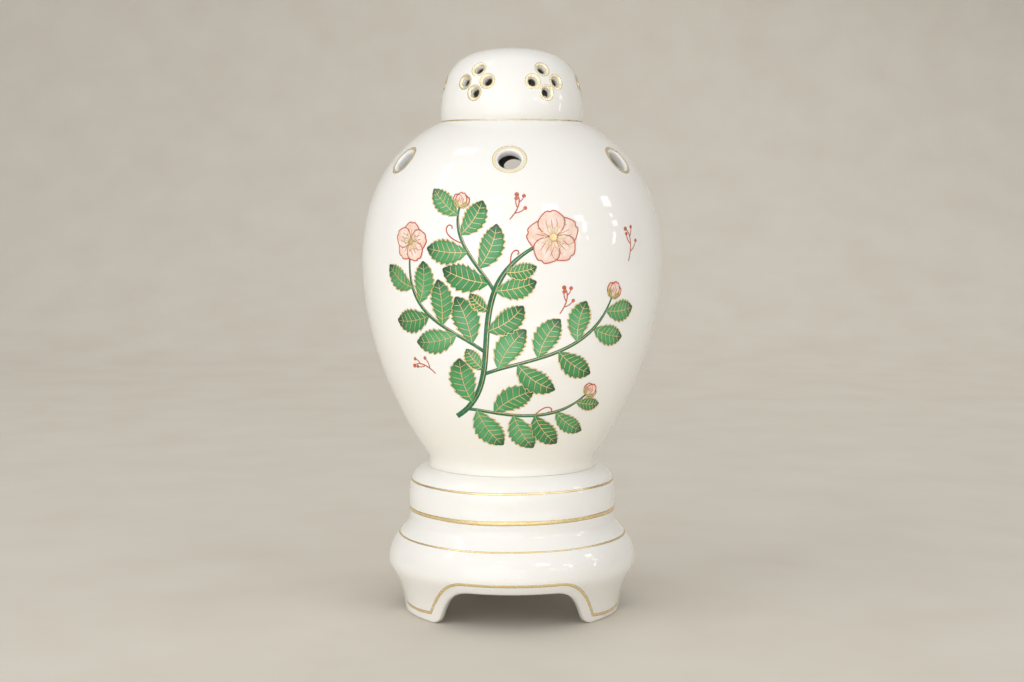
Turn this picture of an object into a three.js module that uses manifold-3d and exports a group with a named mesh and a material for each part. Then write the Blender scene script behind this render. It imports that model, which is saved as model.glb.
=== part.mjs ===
// Porcelain aroma lamp: a pierced lid, a baluster body with a scent dish in its neck, and a
// three-footed stand that carries a small screw bulb in its lampholder.
// Millimetres, +Z up, the feet stand on z = 0 and the axis of the lamp is the Z axis.
import * as THREE from 'three';
import { mergeVertices } from 'three/addons/utils/BufferGeometryUtils.js';
import Module from 'manifold-3d';

// Clearances
const seatGap = 0.3; // between pieces that rest on each other
const slipGap = 0.3; // beside pieces that slide into each other
const rimGap = 0.6; // beside the porcelain rims, which are never quite round
const cutMargin = 2; // how far a cutter reaches past what it cuts

// Stand
const standHeight = 64.8;
const standWall = 4;
const rimWidth = 3.3; // flat rim that the body stands on
const rimDepth = 4; // the rim's collar starts this far above the top of the band
const wellStep = 1; // and has widened to the well this far below it
const bandRadius = 46;
const bandTop = 55.5;
const bandBottom = 41.8;
const bandSwell = 0.4;
const cushionOut = 4.2; // these pull the curve from the rim to the band
const cushionFlat = 0.4;
const cushionRise = 5.5;
const shoulderRadius = 51;
const shoulderHeight = 34.5;
const coveDrop = 2.8; // these pull the hollow between the band and the shoulder
const coveTuck = 1.4;
const coveRise = 1.7;
const skirtRadius = 55.6;
const skirtHeight = 22.3;
const swellOut = 2.2; // these pull the swelling from the shoulder to the skirt
const swellDrop = 2.6;
const swellRise = 5.2;
const soleRadius = 48.7;
const soleRound = 1.2;
const legDrop = 4.1; // these pull the legs in towards their soles
const legOut = 0.3;
const legRise = 13.5;
const floorHeight = 48; // top of the inner floor
const floorThickness = 4;
const floorFillet = 3;
const archCount = 3;
const archHalfWidth = 29.8;
const archHeight = 16.6;
const archLean = 4.3;
const archCorner = 8.5;

// Body
const bodyHeight = 152.1; // from its foot to the ledge under the lid
const bodyWall = 4;
const bodyTurn = -1.1; // degrees that its vents stand off the stand's arches
const waistRadius = 36.8;
const waistHeight = 2.3;
const waistSwell = 0.2;
const footFlare = 0.7;
const flareHeight = 4.9; // where the waist runs into the belly
const flareOut = 1.1;
const lowerOut = 14.4; // these pull the belly out from the waist
const lowerRise = 18.4;
const bellyRadius = 66.8;
const bellyHeight = 90.9;
const bellyDrop = 34.8; // how far the belly stays nearly upright, below and above its widest place
const bellyLift = 30.2;
const shoulderOut = 21.7; // these pull the shoulder in towards the ledge
const shoulderDrop = 11.2;
const spigotDepth = 4;
const spigotWall = 3.6;
const ledgeWidth = 1.5;
const neckRise = 6.9;
const neckWall = 3.5;
const neckRound = 1;
const ventCount = 6;
const ventHeight = 135.6;
const ventRadius = 4.8;
const ventRound = 1.3;

// Lid
const lidHeight = 32.5;
const lidRadius = 31.5;
const lidWall = 3;
const lidTaper = 0.3; // how far the lower edge draws in
const lidEdge = 0.5;
const lidClearance = 1;
const lidTurn = -1.5;
const bendHeight = 2.9; // where the upright edge runs into the dome
const domeLift = 24.4;
const domeFlat = 20.4;
const clusterCount = 6;
const clusterHeight = 16.7;
const clusterRise = 5.2;
const clusterSpread = 11; // degrees from the middle of a cluster to its side holes
const pierceRadius = 1.75;
const pierceRound = 1.5;

// Scent dish
const dishAir = 5.2; // warm air passes here, between the dish and the neck
const dishDepth = 18;
const dishWall = 2.2;
const dishFootRadius = 11;
const dishFlare = 3; // the bowl widens this much in its lowest part
const dishFlareHeight = 1.5;
const bowlTaper = 1; // the bowl is narrower by this at its bend than at its rim
const bowlBend = 8.1;
const lugCount = 3;
const lugWidth = 15;
const lugThickness = 2;
const lugSetback = 0.9; // lugs end this far inside the neck's outer face

// Lampholder
const holderRadius = 14;
const holderWall = 2;
const holderCapHeight = 22;
const holderHeight = 54;
const bossRadius = 8;
const bossDraft = 0.5;
const bossHeight = 2.5;
const capShoulderInset = 1.5; // the cap rises from its boss over a shoulder to its straight side
const capShoulderHeight = 6;
const capSideHeight = 9;
const capFloor = 5;
const ledgeHeight = 12.7; // step inside the cap that the insert rests on
const collarHeight = 3; // plain collar at the foot of the skirt
const collarStep = 0.7;
const skirtChamfer = 1;
const skirtMouthClearance = 1;
const skirtMouthDepth = 3;
const skirtRelief = 1; // the skirt's bore is wider by this above the insert
const insertFlange = 3;
const insertHeight = 12;
const insertRadius = 9.4;
const sleeveWall = 0.6;
const sleeveHeight = 20;
const sleeveFlange = 1;
const contactRise = 2.7;
const contactWidth = 5;
const contactInset = 1.2; // the strip ends this far inside the bulb cap's radius
const contactFoot = 4.5;
const contactSetback = 2;
const stripThickness = 0.5;
const screwOffset = 6.2;
const screwHeadRadius = 1.9;
const screwHeadHeight = 2.2;
const screwHeadChamfer = 0.3;
const screwShankRadius = 1.2;
const screwShankLength = 5;
const screwHoleSpare = 1;
const slotWidth = 0.6;
const slotDepth = 0.7;

// Threaded tube through the stand's floor, and what clamps it
const tubeRadius = 5;
const tubeWall = 1;
const tubeReach = 7.5; // above the cap's lower face
const tubeTail = 3; // below the nut
const washerRadius = 11;
const washerThickness = 1;
const lockWasherRadius = 8.4;
const lockWasherThickness = 0.8;
const lockTeeth = 12;
const lockToothLength = 1.4;
const nutAcrossFlats = 14;
const nutHeight = 3.5;
const nutChamfer = 0.9;
const bushingFlange = 1.5;
const bushingFlangeWidth = 1;
const bushingRound = 0.6;
const bushingStem = 6;
const bushingBore = 3.2;

// Bulb
const capRadius = 6.9; // screw shell, over the crests
const capLength = 20;
const capSkirtRadius = 7.9;
const capSkirtHeight = 4.3;
const capFlare = 1.2;
const shellWall = 0.4;
const insulatorHeight = 5;
const insulatorFoot = 0.6; // share of the insulator that stands out below the shell
const tipRadius = 2.4;
const tipHeight = 1.6;
const globeRadius = 22.5;
const globeRise = 34; // from the glass neck's lower edge to the middle of the globe
const globeJoin = 50; // degrees below its middle where the globe runs into the neck
const glassWall = 0.9;
const glassSink = 1.3; // the glass starts this far above the foot of the cap's skirt
const glassNeckHeight = 3;
const glassNeckRise = 6; // these pull the curve from the neck to the globe
const glassNeckOut = 1;
const glassFlareIn = 5;
const glassFlareDrop = 6;
const stemGap = 0.4;
const stemHeight = 21;
const stemFlareHeight = 3;
const stemWaistHeight = 8;
const stemTopRadius = 2.2;
const stemRound = 1;
const wireRadius = 0.35;
const filamentSpan = 9;
const filamentRise = 15;
const filamentSag = 0.4;
const filamentDroop = 2;
const wireLead = 3;
const wireSplay = 0.6;

// Smoothness
const roundSteps = 36;
const lidSteps = 30;
const smallSteps = 16;
const tinySteps = 10;
const globeSteps = 6;

// Heights and radii that follow from the sizes above
const bodyFoot = standHeight + seatGap;
const ledgeZ = bodyFoot + bodyHeight;
const lidFoot = ledgeZ + seatGap;
const rimOuter = waistRadius + footFlare;
const mouthRadius = rimOuter - rimWidth;
const lidRimRadius = lidRadius - lidTaper;
const ledgeRadius = lidRimRadius + ledgeWidth;
const neckOuter = lidRimRadius - lidWall - lidClearance;
const neckInner = neckOuter - neckWall;
const neckTop = ledgeZ + neckRise;
const holderFoot = floorHeight + seatGap + washerThickness + seatGap;
const holderInner = holderRadius - holderWall;
const insertZ = holderFoot + ledgeHeight + seatGap;
const insertTop = insertZ + insertHeight;
const stripZ = insertTop + seatGap;
const tipZ = stripZ + contactRise + seatGap;
const insulatorZ = tipZ + tipHeight + seatGap;
const shellZ = insulatorZ + insulatorHeight * insulatorFoot;
const capSkirtZ = shellZ + capLength - capSkirtHeight;
const glassZ = capSkirtZ + glassSink;
const glassRadius = capSkirtRadius - shellWall - slipGap;
const stemZ = glassZ + stemGap;
const lowerWasherZ = floorHeight - floorThickness - seatGap - washerThickness;
const lockWasherZ = lowerWasherZ - seatGap - lockWasherThickness;
const nutZ = lockWasherZ - seatGap - nutHeight;
const tubeFoot = nutZ - tubeTail;
const tubeTop = holderFoot + tubeReach;
const tubeBore = tubeRadius - tubeWall;

const wasm = await Module();
wasm.setup();

const point = (radius, height) => new THREE.Vector2(radius, height);

// A closed three.js geometry as a solid that can be joined or cut
function solidOf(geometry) {
  const bare = geometry.index ? geometry.toNonIndexed() : geometry.clone();
  bare.deleteAttribute('normal');
  bare.deleteAttribute('uv');
  const merged = mergeVertices(bare, 1e-4);
  const corners = merged.index.array;
  const triangles = [];
  for (let i = 0; i < corners.length; i += 3) {
    const [a, b, c] = [corners[i], corners[i + 1], corners[i + 2]];
    if (a !== b && b !== c && c !== a) triangles.push(a, b, c);
  }
  return new wasm.Manifold(new wasm.Mesh({
    numProp: 3,
    vertProperties: new Float32Array(merged.attributes.position.array),
    triVerts: new Uint32Array(triangles),
  }));
}

function geometryOf(solid) {
  const mesh = solid.getMesh();
  const geometry = new THREE.BufferGeometry();
  geometry.setAttribute('position', new THREE.BufferAttribute(mesh.vertProperties, 3));
  geometry.setIndex(new THREE.BufferAttribute(mesh.triVerts, 1));
  geometry.computeVertexNormals();
  return geometry;
}

// Turns an outline of (radius, height) points round the Z axis
// The outline runs up the outside and down the inside, and is closed here
function revolve(outline, steps) {
  const onAxis = outline[0].x === 0 && outline[outline.length - 1].x === 0;
  const points = onAxis ? outline : [...outline, outline[0]];
  return new THREE.LatheGeometry(points, steps).rotateX(Math.PI / 2);
}

// Points along a curve, moved sideways to the left of the way it runs
function beside(curve, distance, steps) {
  const points = [];
  for (let i = 0; i <= steps; i += 1) {
    const at = curve.getPoint(i / steps);
    const way = curve.getTangent(i / steps);
    points.push(point(at.x - way.y * distance, at.y + way.x * distance));
  }
  return points;
}

// Where a rising outline passes a height, and which way it faces there
function onOutline(curve, height) {
  let low = 0;
  let high = 1;
  for (let i = 0; i < 40; i += 1) {
    const middle = (low + high) / 2;
    if (curve.getPoint(middle).y < height) low = middle;
    else high = middle;
  }
  const at = curve.getPoint(low);
  const way = curve.getTangent(low);
  return { radius: at.x, height: at.y, tilt: Math.atan2(way.y, -way.x) };
}

// A plug that cuts a round hole square to a surface, with a rounded mouth
function holePlug(radius, round, wall, steps, mouthSteps) {
  const reach = wall + round + cutMargin;
  const outline = [point(0, -reach), point(radius, -reach), point(radius, -round)];
  for (let i = 1; i <= mouthSteps; i += 1) {
    const angle = (i / mouthSteps) * (Math.PI / 2);
    outline.push(point(radius + round * (1 - Math.cos(angle)), -round + round * Math.sin(angle)));
  }
  outline.push(point(radius + round, cutMargin), point(0, cutMargin));
  return revolve(outline, steps);
}

// Stands a plug on an outline at a height, facing outwards, and turns it round the axis
function placePlug(plug, curve, height, degrees) {
  const spot = onOutline(curve, height);
  return plug.clone()
    .rotateX(spot.tilt)
    .translate(0, -spot.radius, spot.height)
    .rotateZ(THREE.MathUtils.degToRad(degrees));
}

// A flat outline in X and Z pushed from the axis towards -Y
function pushForward(shape, depth, steps) {
  return new THREE.ExtrudeGeometry(shape, { depth, bevelEnabled: false, curveSegments: steps })
    .rotateX(Math.PI / 2);
}

function ring(inner, outer, foot, height, steps) {
  return revolve(
    [point(outer, foot), point(outer, foot + height), point(inner, foot + height), point(inner, foot)],
    steps,
  );
}

// Outlines that more than one piece follows
const bodyLower = new THREE.CubicBezierCurve(
  point(waistRadius + flareOut, bodyFoot + flareHeight),
  point(waistRadius + lowerOut, bodyFoot + flareHeight + lowerRise),
  point(bellyRadius, bodyFoot + bellyHeight - bellyDrop),
  point(bellyRadius, bodyFoot + bellyHeight),
);
const bodyUpper = new THREE.CubicBezierCurve(
  point(bellyRadius, bodyFoot + bellyHeight),
  point(bellyRadius, bodyFoot + bellyHeight + bellyLift),
  point(ledgeRadius + shoulderOut, ledgeZ - shoulderDrop),
  point(ledgeRadius, ledgeZ),
);
const lidDome = new THREE.CubicBezierCurve(
  point(lidRadius, lidFoot + bendHeight),
  point(lidRadius, lidFoot + bendHeight + domeLift),
  point(domeFlat, lidFoot + lidHeight),
  point(0, lidFoot + lidHeight),
);

// An arch seen from the front, from below the soles to its crown
function archShape() {
  const arch = new THREE.Shape();
  arch.moveTo(-archHalfWidth, -archHeight);
  arch.lineTo(archHalfWidth, -archHeight);
  arch.lineTo(archHalfWidth, 0);
  arch.bezierCurveTo(
    archHalfWidth - archLean / 2, archHeight / 2,
    archHalfWidth - archLean, archHeight,
    archHalfWidth - archLean - archCorner, archHeight,
  );
  arch.lineTo(-archHalfWidth + archLean + archCorner, archHeight);
  arch.bezierCurveTo(
    -archHalfWidth + archLean, archHeight,
    -archHalfWidth + archLean / 2, archHeight / 2,
    -archHalfWidth, 0,
  );
  return arch;
}

function makeStand() {
  const cushion = new THREE.CubicBezierCurve(
    point(rimOuter, standHeight),
    point(rimOuter + cushionOut, standHeight - cushionFlat),
    point(bandRadius, bandTop + cushionRise),
    point(bandRadius, bandTop),
  );
  const band = new THREE.QuadraticBezierCurve(
    point(bandRadius, bandTop),
    point(bandRadius + 2 * bandSwell, (bandTop + bandBottom) / 2),
    point(bandRadius, bandBottom),
  );
  const cove = new THREE.CubicBezierCurve(
    point(bandRadius, bandBottom),
    point(bandRadius, bandBottom - coveDrop),
    point(shoulderRadius - coveTuck, shoulderHeight + coveRise),
    point(shoulderRadius, shoulderHeight),
  );
  const swell = new THREE.CubicBezierCurve(
    point(shoulderRadius, shoulderHeight),
    point(shoulderRadius + swellOut, shoulderHeight - swellDrop),
    point(skirtRadius, skirtHeight + swellRise),
    point(skirtRadius, skirtHeight),
  );
  const leg = new THREE.CubicBezierCurve(
    point(skirtRadius, skirtHeight),
    point(skirtRadius, skirtHeight - legDrop),
    point(soleRadius + legOut, legRise),
    point(soleRadius, soleRound),
  );
  const outer = [[cushion, 4], [band, 2], [cove, 3], [swell, 4], [leg, 5]]
    .flatMap(([curve, count]) => curve.getPoints(count).slice(1));
  const underside = floorHeight - floorThickness;
  const innerWall = [[cove, 2], [swell, 2], [leg, 4]]
    .flatMap(([curve, count]) => beside(curve, -standWall, count).slice(1))
    .filter((spot) => spot.y < underside - floorFillet);
  const soleInner = soleRadius - standWall;
  const wellRadius = bandRadius - standWall;
  const outline = [
    point(soleInner + soleRound, 0),
    point(soleRadius - soleRound, 0),
    ...outer.reverse(),
    point(rimOuter, standHeight),
    point(mouthRadius, standHeight),
    point(mouthRadius, bandTop + rimDepth),
    point(wellRadius, bandTop - wellStep),
    point(wellRadius, floorHeight + floorFillet),
    point(wellRadius - floorFillet, floorHeight),
    point(tubeRadius + seatGap, floorHeight),
    point(tubeRadius + seatGap, underside),
    point(wellRadius - floorFillet, underside),
    point(wellRadius, underside - floorFillet),
    ...innerWall,
    point(soleInner, soleRound),
  ];
  let stand = solidOf(revolve(outline, roundSteps));
  const opening = pushForward(archShape(), skirtRadius * 1.2, 6);
  for (let i = 0; i < archCount; i += 1) {
    const turned = opening.clone().rotateZ((i * 2 * Math.PI) / archCount);
    stand = stand.subtract(solidOf(turned));
  }
  return stand;
}

function makeBody() {
  const spigotRadius = mouthRadius - rimGap;
  const spigotInner = spigotRadius - spigotWall;
  const outerUpper = bodyUpper.getPoints(7);
  const innerUpper = beside(bodyUpper, bodyWall, 6).filter((spot) => spot.x > neckInner + 2 * neckRound);
  const innerLower = beside(bodyLower, bodyWall, 4);
  const ledgeUnder = ledgeZ - bodyWall;
  const outline = [
    point(spigotInner, bodyFoot - spigotDepth),
    point(spigotRadius, bodyFoot - spigotDepth),
    point(spigotRadius, bodyFoot),
    point(rimOuter, bodyFoot),
    point(waistRadius, bodyFoot + waistHeight),
    point(waistRadius + waistSwell, bodyFoot + (waistHeight + flareHeight) / 2),
    ...bodyLower.getPoints(7).slice(0, -1),
    ...outerUpper,
    point(neckOuter, ledgeZ),
    point(neckOuter, neckTop - neckRound),
    point(neckOuter - neckRound, neckTop),
    point(neckInner + neckRound, neckTop),
    point(neckInner, neckTop - neckRound),
    point(neckInner, ledgeUnder + neckRound),
    point(neckInner + neckRound, ledgeUnder),
    ...innerUpper.reverse(),
    ...innerLower.reverse().slice(1),
    point(spigotInner, bodyFoot + waistHeight),
  ];
  let body = solidOf(revolve(outline, roundSteps));
  const plug = holePlug(ventRadius, ventRound, bodyWall, 14, 2);
  for (let i = 0; i < ventCount; i += 1) {
    const turn = bodyTurn + (i * 360) / ventCount;
    body = body.subtract(solidOf(placePlug(plug, bodyUpper, bodyFoot + ventHeight, turn)));
  }
  return body;
}

function makeLid() {
  const dome = lidDome.getPoints(8);
  const innerDome = beside(lidDome, lidWall, 5).slice(0, -1);
  const outline = [
    point(0, lidFoot + lidHeight - lidWall),
    ...innerDome.reverse(),
    point(lidRimRadius - lidWall, lidFoot + lidEdge),
    point(lidRimRadius - lidWall + lidEdge, lidFoot),
    point(lidRimRadius - lidEdge, lidFoot),
    point(lidRimRadius, lidFoot + lidEdge),
    ...dome,
  ];
  let lid = solidOf(revolve(outline, lidSteps));
  const plug = holePlug(pierceRadius, pierceRound, lidWall, 8, 1);
  const spots = [[0, clusterRise], [0, -clusterRise], [-clusterSpread, 0], [clusterSpread, 0]];
  for (let i = 0; i < clusterCount; i += 1) {
    const middle = lidTurn + ((i + 0.5) * 360) / clusterCount;
    for (const [aside, rise] of spots) {
      const height = lidFoot + clusterHeight + rise;
      lid = lid.subtract(solidOf(placePlug(plug, lidDome, height, middle + aside)));
    }
  }
  return lid;
}

function makeScentDish() {
  const lugFoot = neckTop + seatGap;
  const lugTop = lugFoot + lugThickness;
  const lugReach = neckOuter - lugSetback;
  const bowlRadius = neckInner - dishAir;
  const bowlInner = bowlRadius - dishWall;
  const dishFoot = lugTop - dishDepth;
  const outline = [
    point(0, dishFoot),
    point(dishFootRadius, dishFoot),
    point(dishFootRadius + dishFlare, dishFoot + dishFlareHeight),
    point(bowlRadius - bowlTaper, dishFoot + bowlBend),
    point(bowlRadius, lugFoot),
    point(lugReach, lugFoot),
    point(lugReach, lugTop),
    point(bowlInner, lugTop),
    point(bowlInner - bowlTaper, dishFoot + bowlBend + bowlTaper / 2),
    point(dishFootRadius + bowlTaper, dishFoot + dishWall + bowlTaper),
    point(dishFootRadius - bowlTaper, dishFoot + dishWall),
    point(0, dishFoot + dishWall),
  ];
  let dish = solidOf(revolve(outline, lidSteps));
  const gapAngle = (2 * Math.PI) / lugCount - lugWidth / bowlRadius;
  const slot = new THREE.Shape();
  slot.absarc(0, 0, bowlRadius + dishWall / 10, -gapAngle / 2, gapAngle / 2, false);
  slot.absarc(0, 0, lugReach + cutMargin, gapAngle / 2, -gapAngle / 2, true);
  slot.closePath();
  const cutter = new THREE.ExtrudeGeometry(slot, {
    depth: lugThickness + 2 * cutMargin,
    bevelEnabled: false,
    curveSegments: 8,
  }).translate(0, 0, lugFoot - cutMargin);
  for (let i = 0; i < lugCount; i += 1) {
    const turned = cutter.clone().rotateZ((i * 2 * Math.PI) / lugCount);
    dish = dish.subtract(solidOf(turned));
  }
  return dish;
}

function makeHolderCap() {
  const ledgeInner = screwOffset + screwHeadRadius + slipGap;
  return solidOf(revolve([
    point(tubeRadius + seatGap, holderFoot),
    point(bossRadius, holderFoot),
    point(bossRadius + bossDraft, holderFoot + bossHeight),
    point(holderRadius - capShoulderInset, holderFoot + capShoulderHeight),
    point(holderRadius, holderFoot + capSideHeight),
    point(holderRadius, holderFoot + holderCapHeight),
    point(holderInner, holderFoot + holderCapHeight),
    point(holderInner, holderFoot + ledgeHeight),
    point(ledgeInner, holderFoot + ledgeHeight),
    point(ledgeInner, holderFoot + capSideHeight),
    point(bossRadius - holderWall / 2, holderFoot + capFloor),
    point(tubeRadius + seatGap, holderFoot + capFloor),
  ], smallSteps));
}

function makeHolderSkirt() {
  const foot = holderFoot + holderCapHeight + seatGap;
  const top = holderFoot + holderHeight;
  const side = holderRadius - collarStep;
  const mouth = capSkirtRadius + skirtMouthClearance;
  const spigotOuter = holderInner - slipGap;
  const spigotInner = insertRadius + slipGap;
  const bore = spigotInner + skirtRelief;
  return solidOf(revolve([
    point(spigotInner, insertZ + insertFlange + seatGap),
    point(spigotOuter, insertZ + insertFlange + seatGap),
    point(spigotOuter, foot),
    point(holderRadius, foot),
    point(holderRadius, foot + collarHeight),
    point(side, foot + collarHeight + collarStep),
    point(side, top - skirtChamfer),
    point(side - skirtChamfer, top),
    point(mouth, top),
    point(mouth, top - skirtMouthDepth),
    point(bore, top - skirtMouthDepth - 2 * skirtRelief),
    point(bore, foot + 2 * skirtRelief),
    point(spigotInner, foot + skirtRelief),
  ], smallSteps));
}

function makeHolderInsert() {
  const flangeRadius = holderInner - slipGap;
  let insert = solidOf(revolve([
    point(0, insertZ),
    point(flangeRadius, insertZ),
    point(flangeRadius, insertZ + insertFlange),
    point(insertRadius, insertZ + insertFlange),
    point(insertRadius, insertTop),
    point(0, insertTop),
  ], smallSteps));
  const holeTop = insertZ + screwShankLength + screwHoleSpare;
  for (const side of [-1, 1]) {
    const hole = revolve([
      point(0, insertZ - cutMargin),
      point(screwShankRadius + slipGap, insertZ - cutMargin),
      point(screwShankRadius + slipGap, holeTop),
      point(0, holeTop),
    ], tinySteps).translate(side * screwOffset, 0, 0);
    insert = insert.subtract(solidOf(hole));
  }
  return insert;
}

function makeTerminalScrew(side) {
  const headTop = insertZ - seatGap;
  const headFoot = headTop - screwHeadHeight;
  const screw = solidOf(revolve([
    point(0, headFoot),
    point(screwHeadRadius - screwHeadChamfer, headFoot),
    point(screwHeadRadius, headFoot + screwHeadChamfer),
    point(screwHeadRadius, headTop),
    point(screwShankRadius, headTop),
    point(screwShankRadius, headTop + screwShankLength),
    point(0, headTop + screwShankLength),
  ], tinySteps));
  const slot = new THREE.BoxGeometry(screwHeadRadius * 3, slotWidth, slotDepth * 2)
    .translate(0, 0, headFoot);
  return solidOf(geometryOf(screw.subtract(solidOf(slot))).translate(side * screwOffset, 0, 0));
}

function makeThreadSleeve() {
  const inner = capRadius + slipGap;
  const outer = inner + sleeveWall;
  return solidOf(revolve([
    point(inner, stripZ),
    point(outer + sleeveFlange, stripZ),
    point(outer + sleeveFlange, stripZ + sleeveWall),
    point(outer, stripZ + sleeveWall),
    point(outer, stripZ + sleeveHeight),
    point(inner, stripZ + sleeveHeight),
  ], smallSteps));
}

// A springy strip, seen from the side as a flat foot, a rise and a raised tongue
function makeCentreContact() {
  const reach = capRadius - contactInset;
  const strip = new THREE.Shape();
  strip.moveTo(-reach, 0);
  strip.lineTo(-reach + contactFoot, 0);
  strip.lineTo(-contactInset, contactRise - stripThickness);
  strip.lineTo(reach - contactSetback, contactRise - stripThickness);
  strip.lineTo(reach - contactSetback, contactRise);
  strip.lineTo(-contactInset - stripThickness / 2, contactRise);
  strip.lineTo(-reach + contactFoot - stripThickness / 2, stripThickness);
  strip.lineTo(-reach, stripThickness);
  strip.closePath();
  return solidOf(pushForward(strip, contactWidth, 1).translate(0, contactWidth / 2, stripZ));
}

function makeThreadedTube() {
  return solidOf(ring(tubeBore, tubeRadius, tubeFoot, tubeTop - tubeFoot, smallSteps));
}

function makeWasher(foot) {
  return solidOf(ring(tubeRadius + slipGap, washerRadius, foot, washerThickness, smallSteps));
}

// A toothed ring: the outline steps in and out once for each tooth
function makeLockWasher() {
  const outline = new THREE.Shape();
  const pitch = (2 * Math.PI) / lockTeeth;
  const inner = lockWasherRadius - lockToothLength;
  for (let i = 0; i < lockTeeth; i += 1) {
    const corners = [[inner, 0], [lockWasherRadius, 0.2], [lockWasherRadius, 0.6], [inner, 0.8]];
    for (const [radius, share] of corners) {
      const angle = (i + share) * pitch;
      const [x, y] = [radius * Math.cos(angle), radius * Math.sin(angle)];
      if (i === 0 && share === 0) outline.moveTo(x, y);
      else outline.lineTo(x, y);
    }
  }
  outline.closePath();
  outline.holes.push(new THREE.Path().absarc(0, 0, tubeRadius + slipGap, 0, 2 * Math.PI, true));
  return solidOf(new THREE.ExtrudeGeometry(outline, {
    depth: lockWasherThickness,
    bevelEnabled: false,
    curveSegments: tinySteps,
  }).translate(0, 0, lockWasherZ));
}

// A hexagon with its corners turned off by a cone below and above
function makeHexNut() {
  const corner = nutAcrossFlats / Math.sqrt(3);
  const hexagon = new THREE.CylinderGeometry(corner, corner, nutHeight, 6)
    .rotateX(Math.PI / 2)
    .translate(0, 0, nutZ + nutHeight / 2);
  const rise = nutChamfer + cutMargin / 2;
  const narrow = corner + nutChamfer - rise * Math.sqrt(3);
  const chamfer = revolve([
    point(0, nutZ - cutMargin / 2),
    point(narrow, nutZ - cutMargin / 2),
    point(corner + nutChamfer, nutZ + nutChamfer),
    point(corner + nutChamfer, nutZ + nutHeight - nutChamfer),
    point(narrow, nutZ + nutHeight + cutMargin / 2),
    point(0, nutZ + nutHeight + cutMargin / 2),
  ], smallSteps);
  const bore = ring(0, tubeRadius + slipGap, nutZ - cutMargin, nutHeight + 2 * cutMargin, smallSteps);
  return solidOf(hexagon).intersect(solidOf(chamfer)).subtract(solidOf(bore));
}

function makeCableBushing() {
  const stem = tubeBore - slipGap;
  const flangeTop = tubeFoot - seatGap;
  const flangeFoot = flangeTop - bushingFlange;
  return solidOf(revolve([
    point(bushingBore + bushingRound, flangeFoot),
    point(tubeRadius + bushingFlangeWidth - bushingRound, flangeFoot),
    point(tubeRadius + bushingFlangeWidth, flangeFoot + bushingRound),
    point(tubeRadius + bushingFlangeWidth, flangeTop),
    point(stem, flangeTop),
    point(stem, flangeTop + bushingStem),
    point(bushingBore, flangeTop + bushingStem),
    point(bushingBore, flangeFoot + bushingRound),
  ], smallSteps));
}

function makeBulbContact() {
  return solidOf(revolve([
    point(0, tipZ),
    point(tipRadius * 0.6, tipZ + tipHeight * 0.2),
    point(tipRadius, tipZ + tipHeight * 0.7),
    point(tipRadius, tipZ + tipHeight),
    point(0, tipZ + tipHeight),
  ], tinySteps));
}

function makeBulbInsulator() {
  const radius = capRadius - shellWall - slipGap;
  return solidOf(revolve([
    point(0, insulatorZ),
    point(tipRadius * 1.25, insulatorZ),
    point(radius, insulatorZ + insulatorHeight * 0.55),
    point(radius, insulatorZ + insulatorHeight),
    point(0, insulatorZ + insulatorHeight),
  ], tinySteps));
}

function makeBulbCap() {
  const flareZ = capSkirtZ - capFlare;
  const shellTop = shellZ + capLength;
  return solidOf(revolve([
    point(capRadius - shellWall, shellZ),
    point(capRadius, shellZ),
    point(capRadius, flareZ),
    point(capSkirtRadius, capSkirtZ),
    point(capSkirtRadius, shellTop),
    point(capSkirtRadius - shellWall, shellTop),
    point(capSkirtRadius - shellWall, capSkirtZ + shellWall),
    point(capRadius - shellWall, flareZ + shellWall),
  ], smallSteps));
}

function makeBulbGlass() {
  const middle = glassZ + globeRise;
  const join = THREE.MathUtils.degToRad(-globeJoin);
  const joinRadius = globeRadius * Math.cos(join);
  const joinZ = middle + globeRadius * Math.sin(join);
  const side = new THREE.CubicBezierCurve(
    point(glassRadius, glassZ + glassNeckHeight),
    point(glassRadius + glassNeckOut, glassZ + glassNeckHeight + glassNeckRise),
    point(joinRadius - glassFlareIn, joinZ - glassFlareDrop),
    point(joinRadius, joinZ),
  );
  const arc = (radius, steps) => Array.from({ length: steps + 1 }, (_, i) => {
    const angle = join + (i / steps) * (Math.PI / 2 - join);
    return point(radius * Math.cos(angle), middle + radius * Math.sin(angle));
  });
  const outer = arc(globeRadius, globeSteps);
  const inner = arc(globeRadius - glassWall, globeSteps);
  outer[globeSteps].x = 0;
  inner[globeSteps].x = 0;
  return solidOf(revolve([
    inner[globeSteps],
    ...inner.slice(0, -1).reverse(),
    ...beside(side, glassWall, 4).slice(0, -1).reverse(),
    point(glassRadius - glassWall, glassZ),
    point(glassRadius, glassZ),
    ...side.getPoints(4).slice(0, -1),
    ...outer,
  ], smallSteps));
}

function makeBulbStem() {
  const base = glassRadius - glassWall - slipGap;
  const top = stemZ + stemHeight;
  return solidOf(revolve([
    point(0, stemZ),
    point(base, stemZ),
    point(base * 0.6, stemZ + stemFlareHeight),
    point(stemTopRadius, stemZ + stemWaistHeight),
    point(stemTopRadius, top - stemRound),
    point(stemTopRadius * 0.7, top),
    point(0, top),
  ], tinySteps));
}

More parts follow.
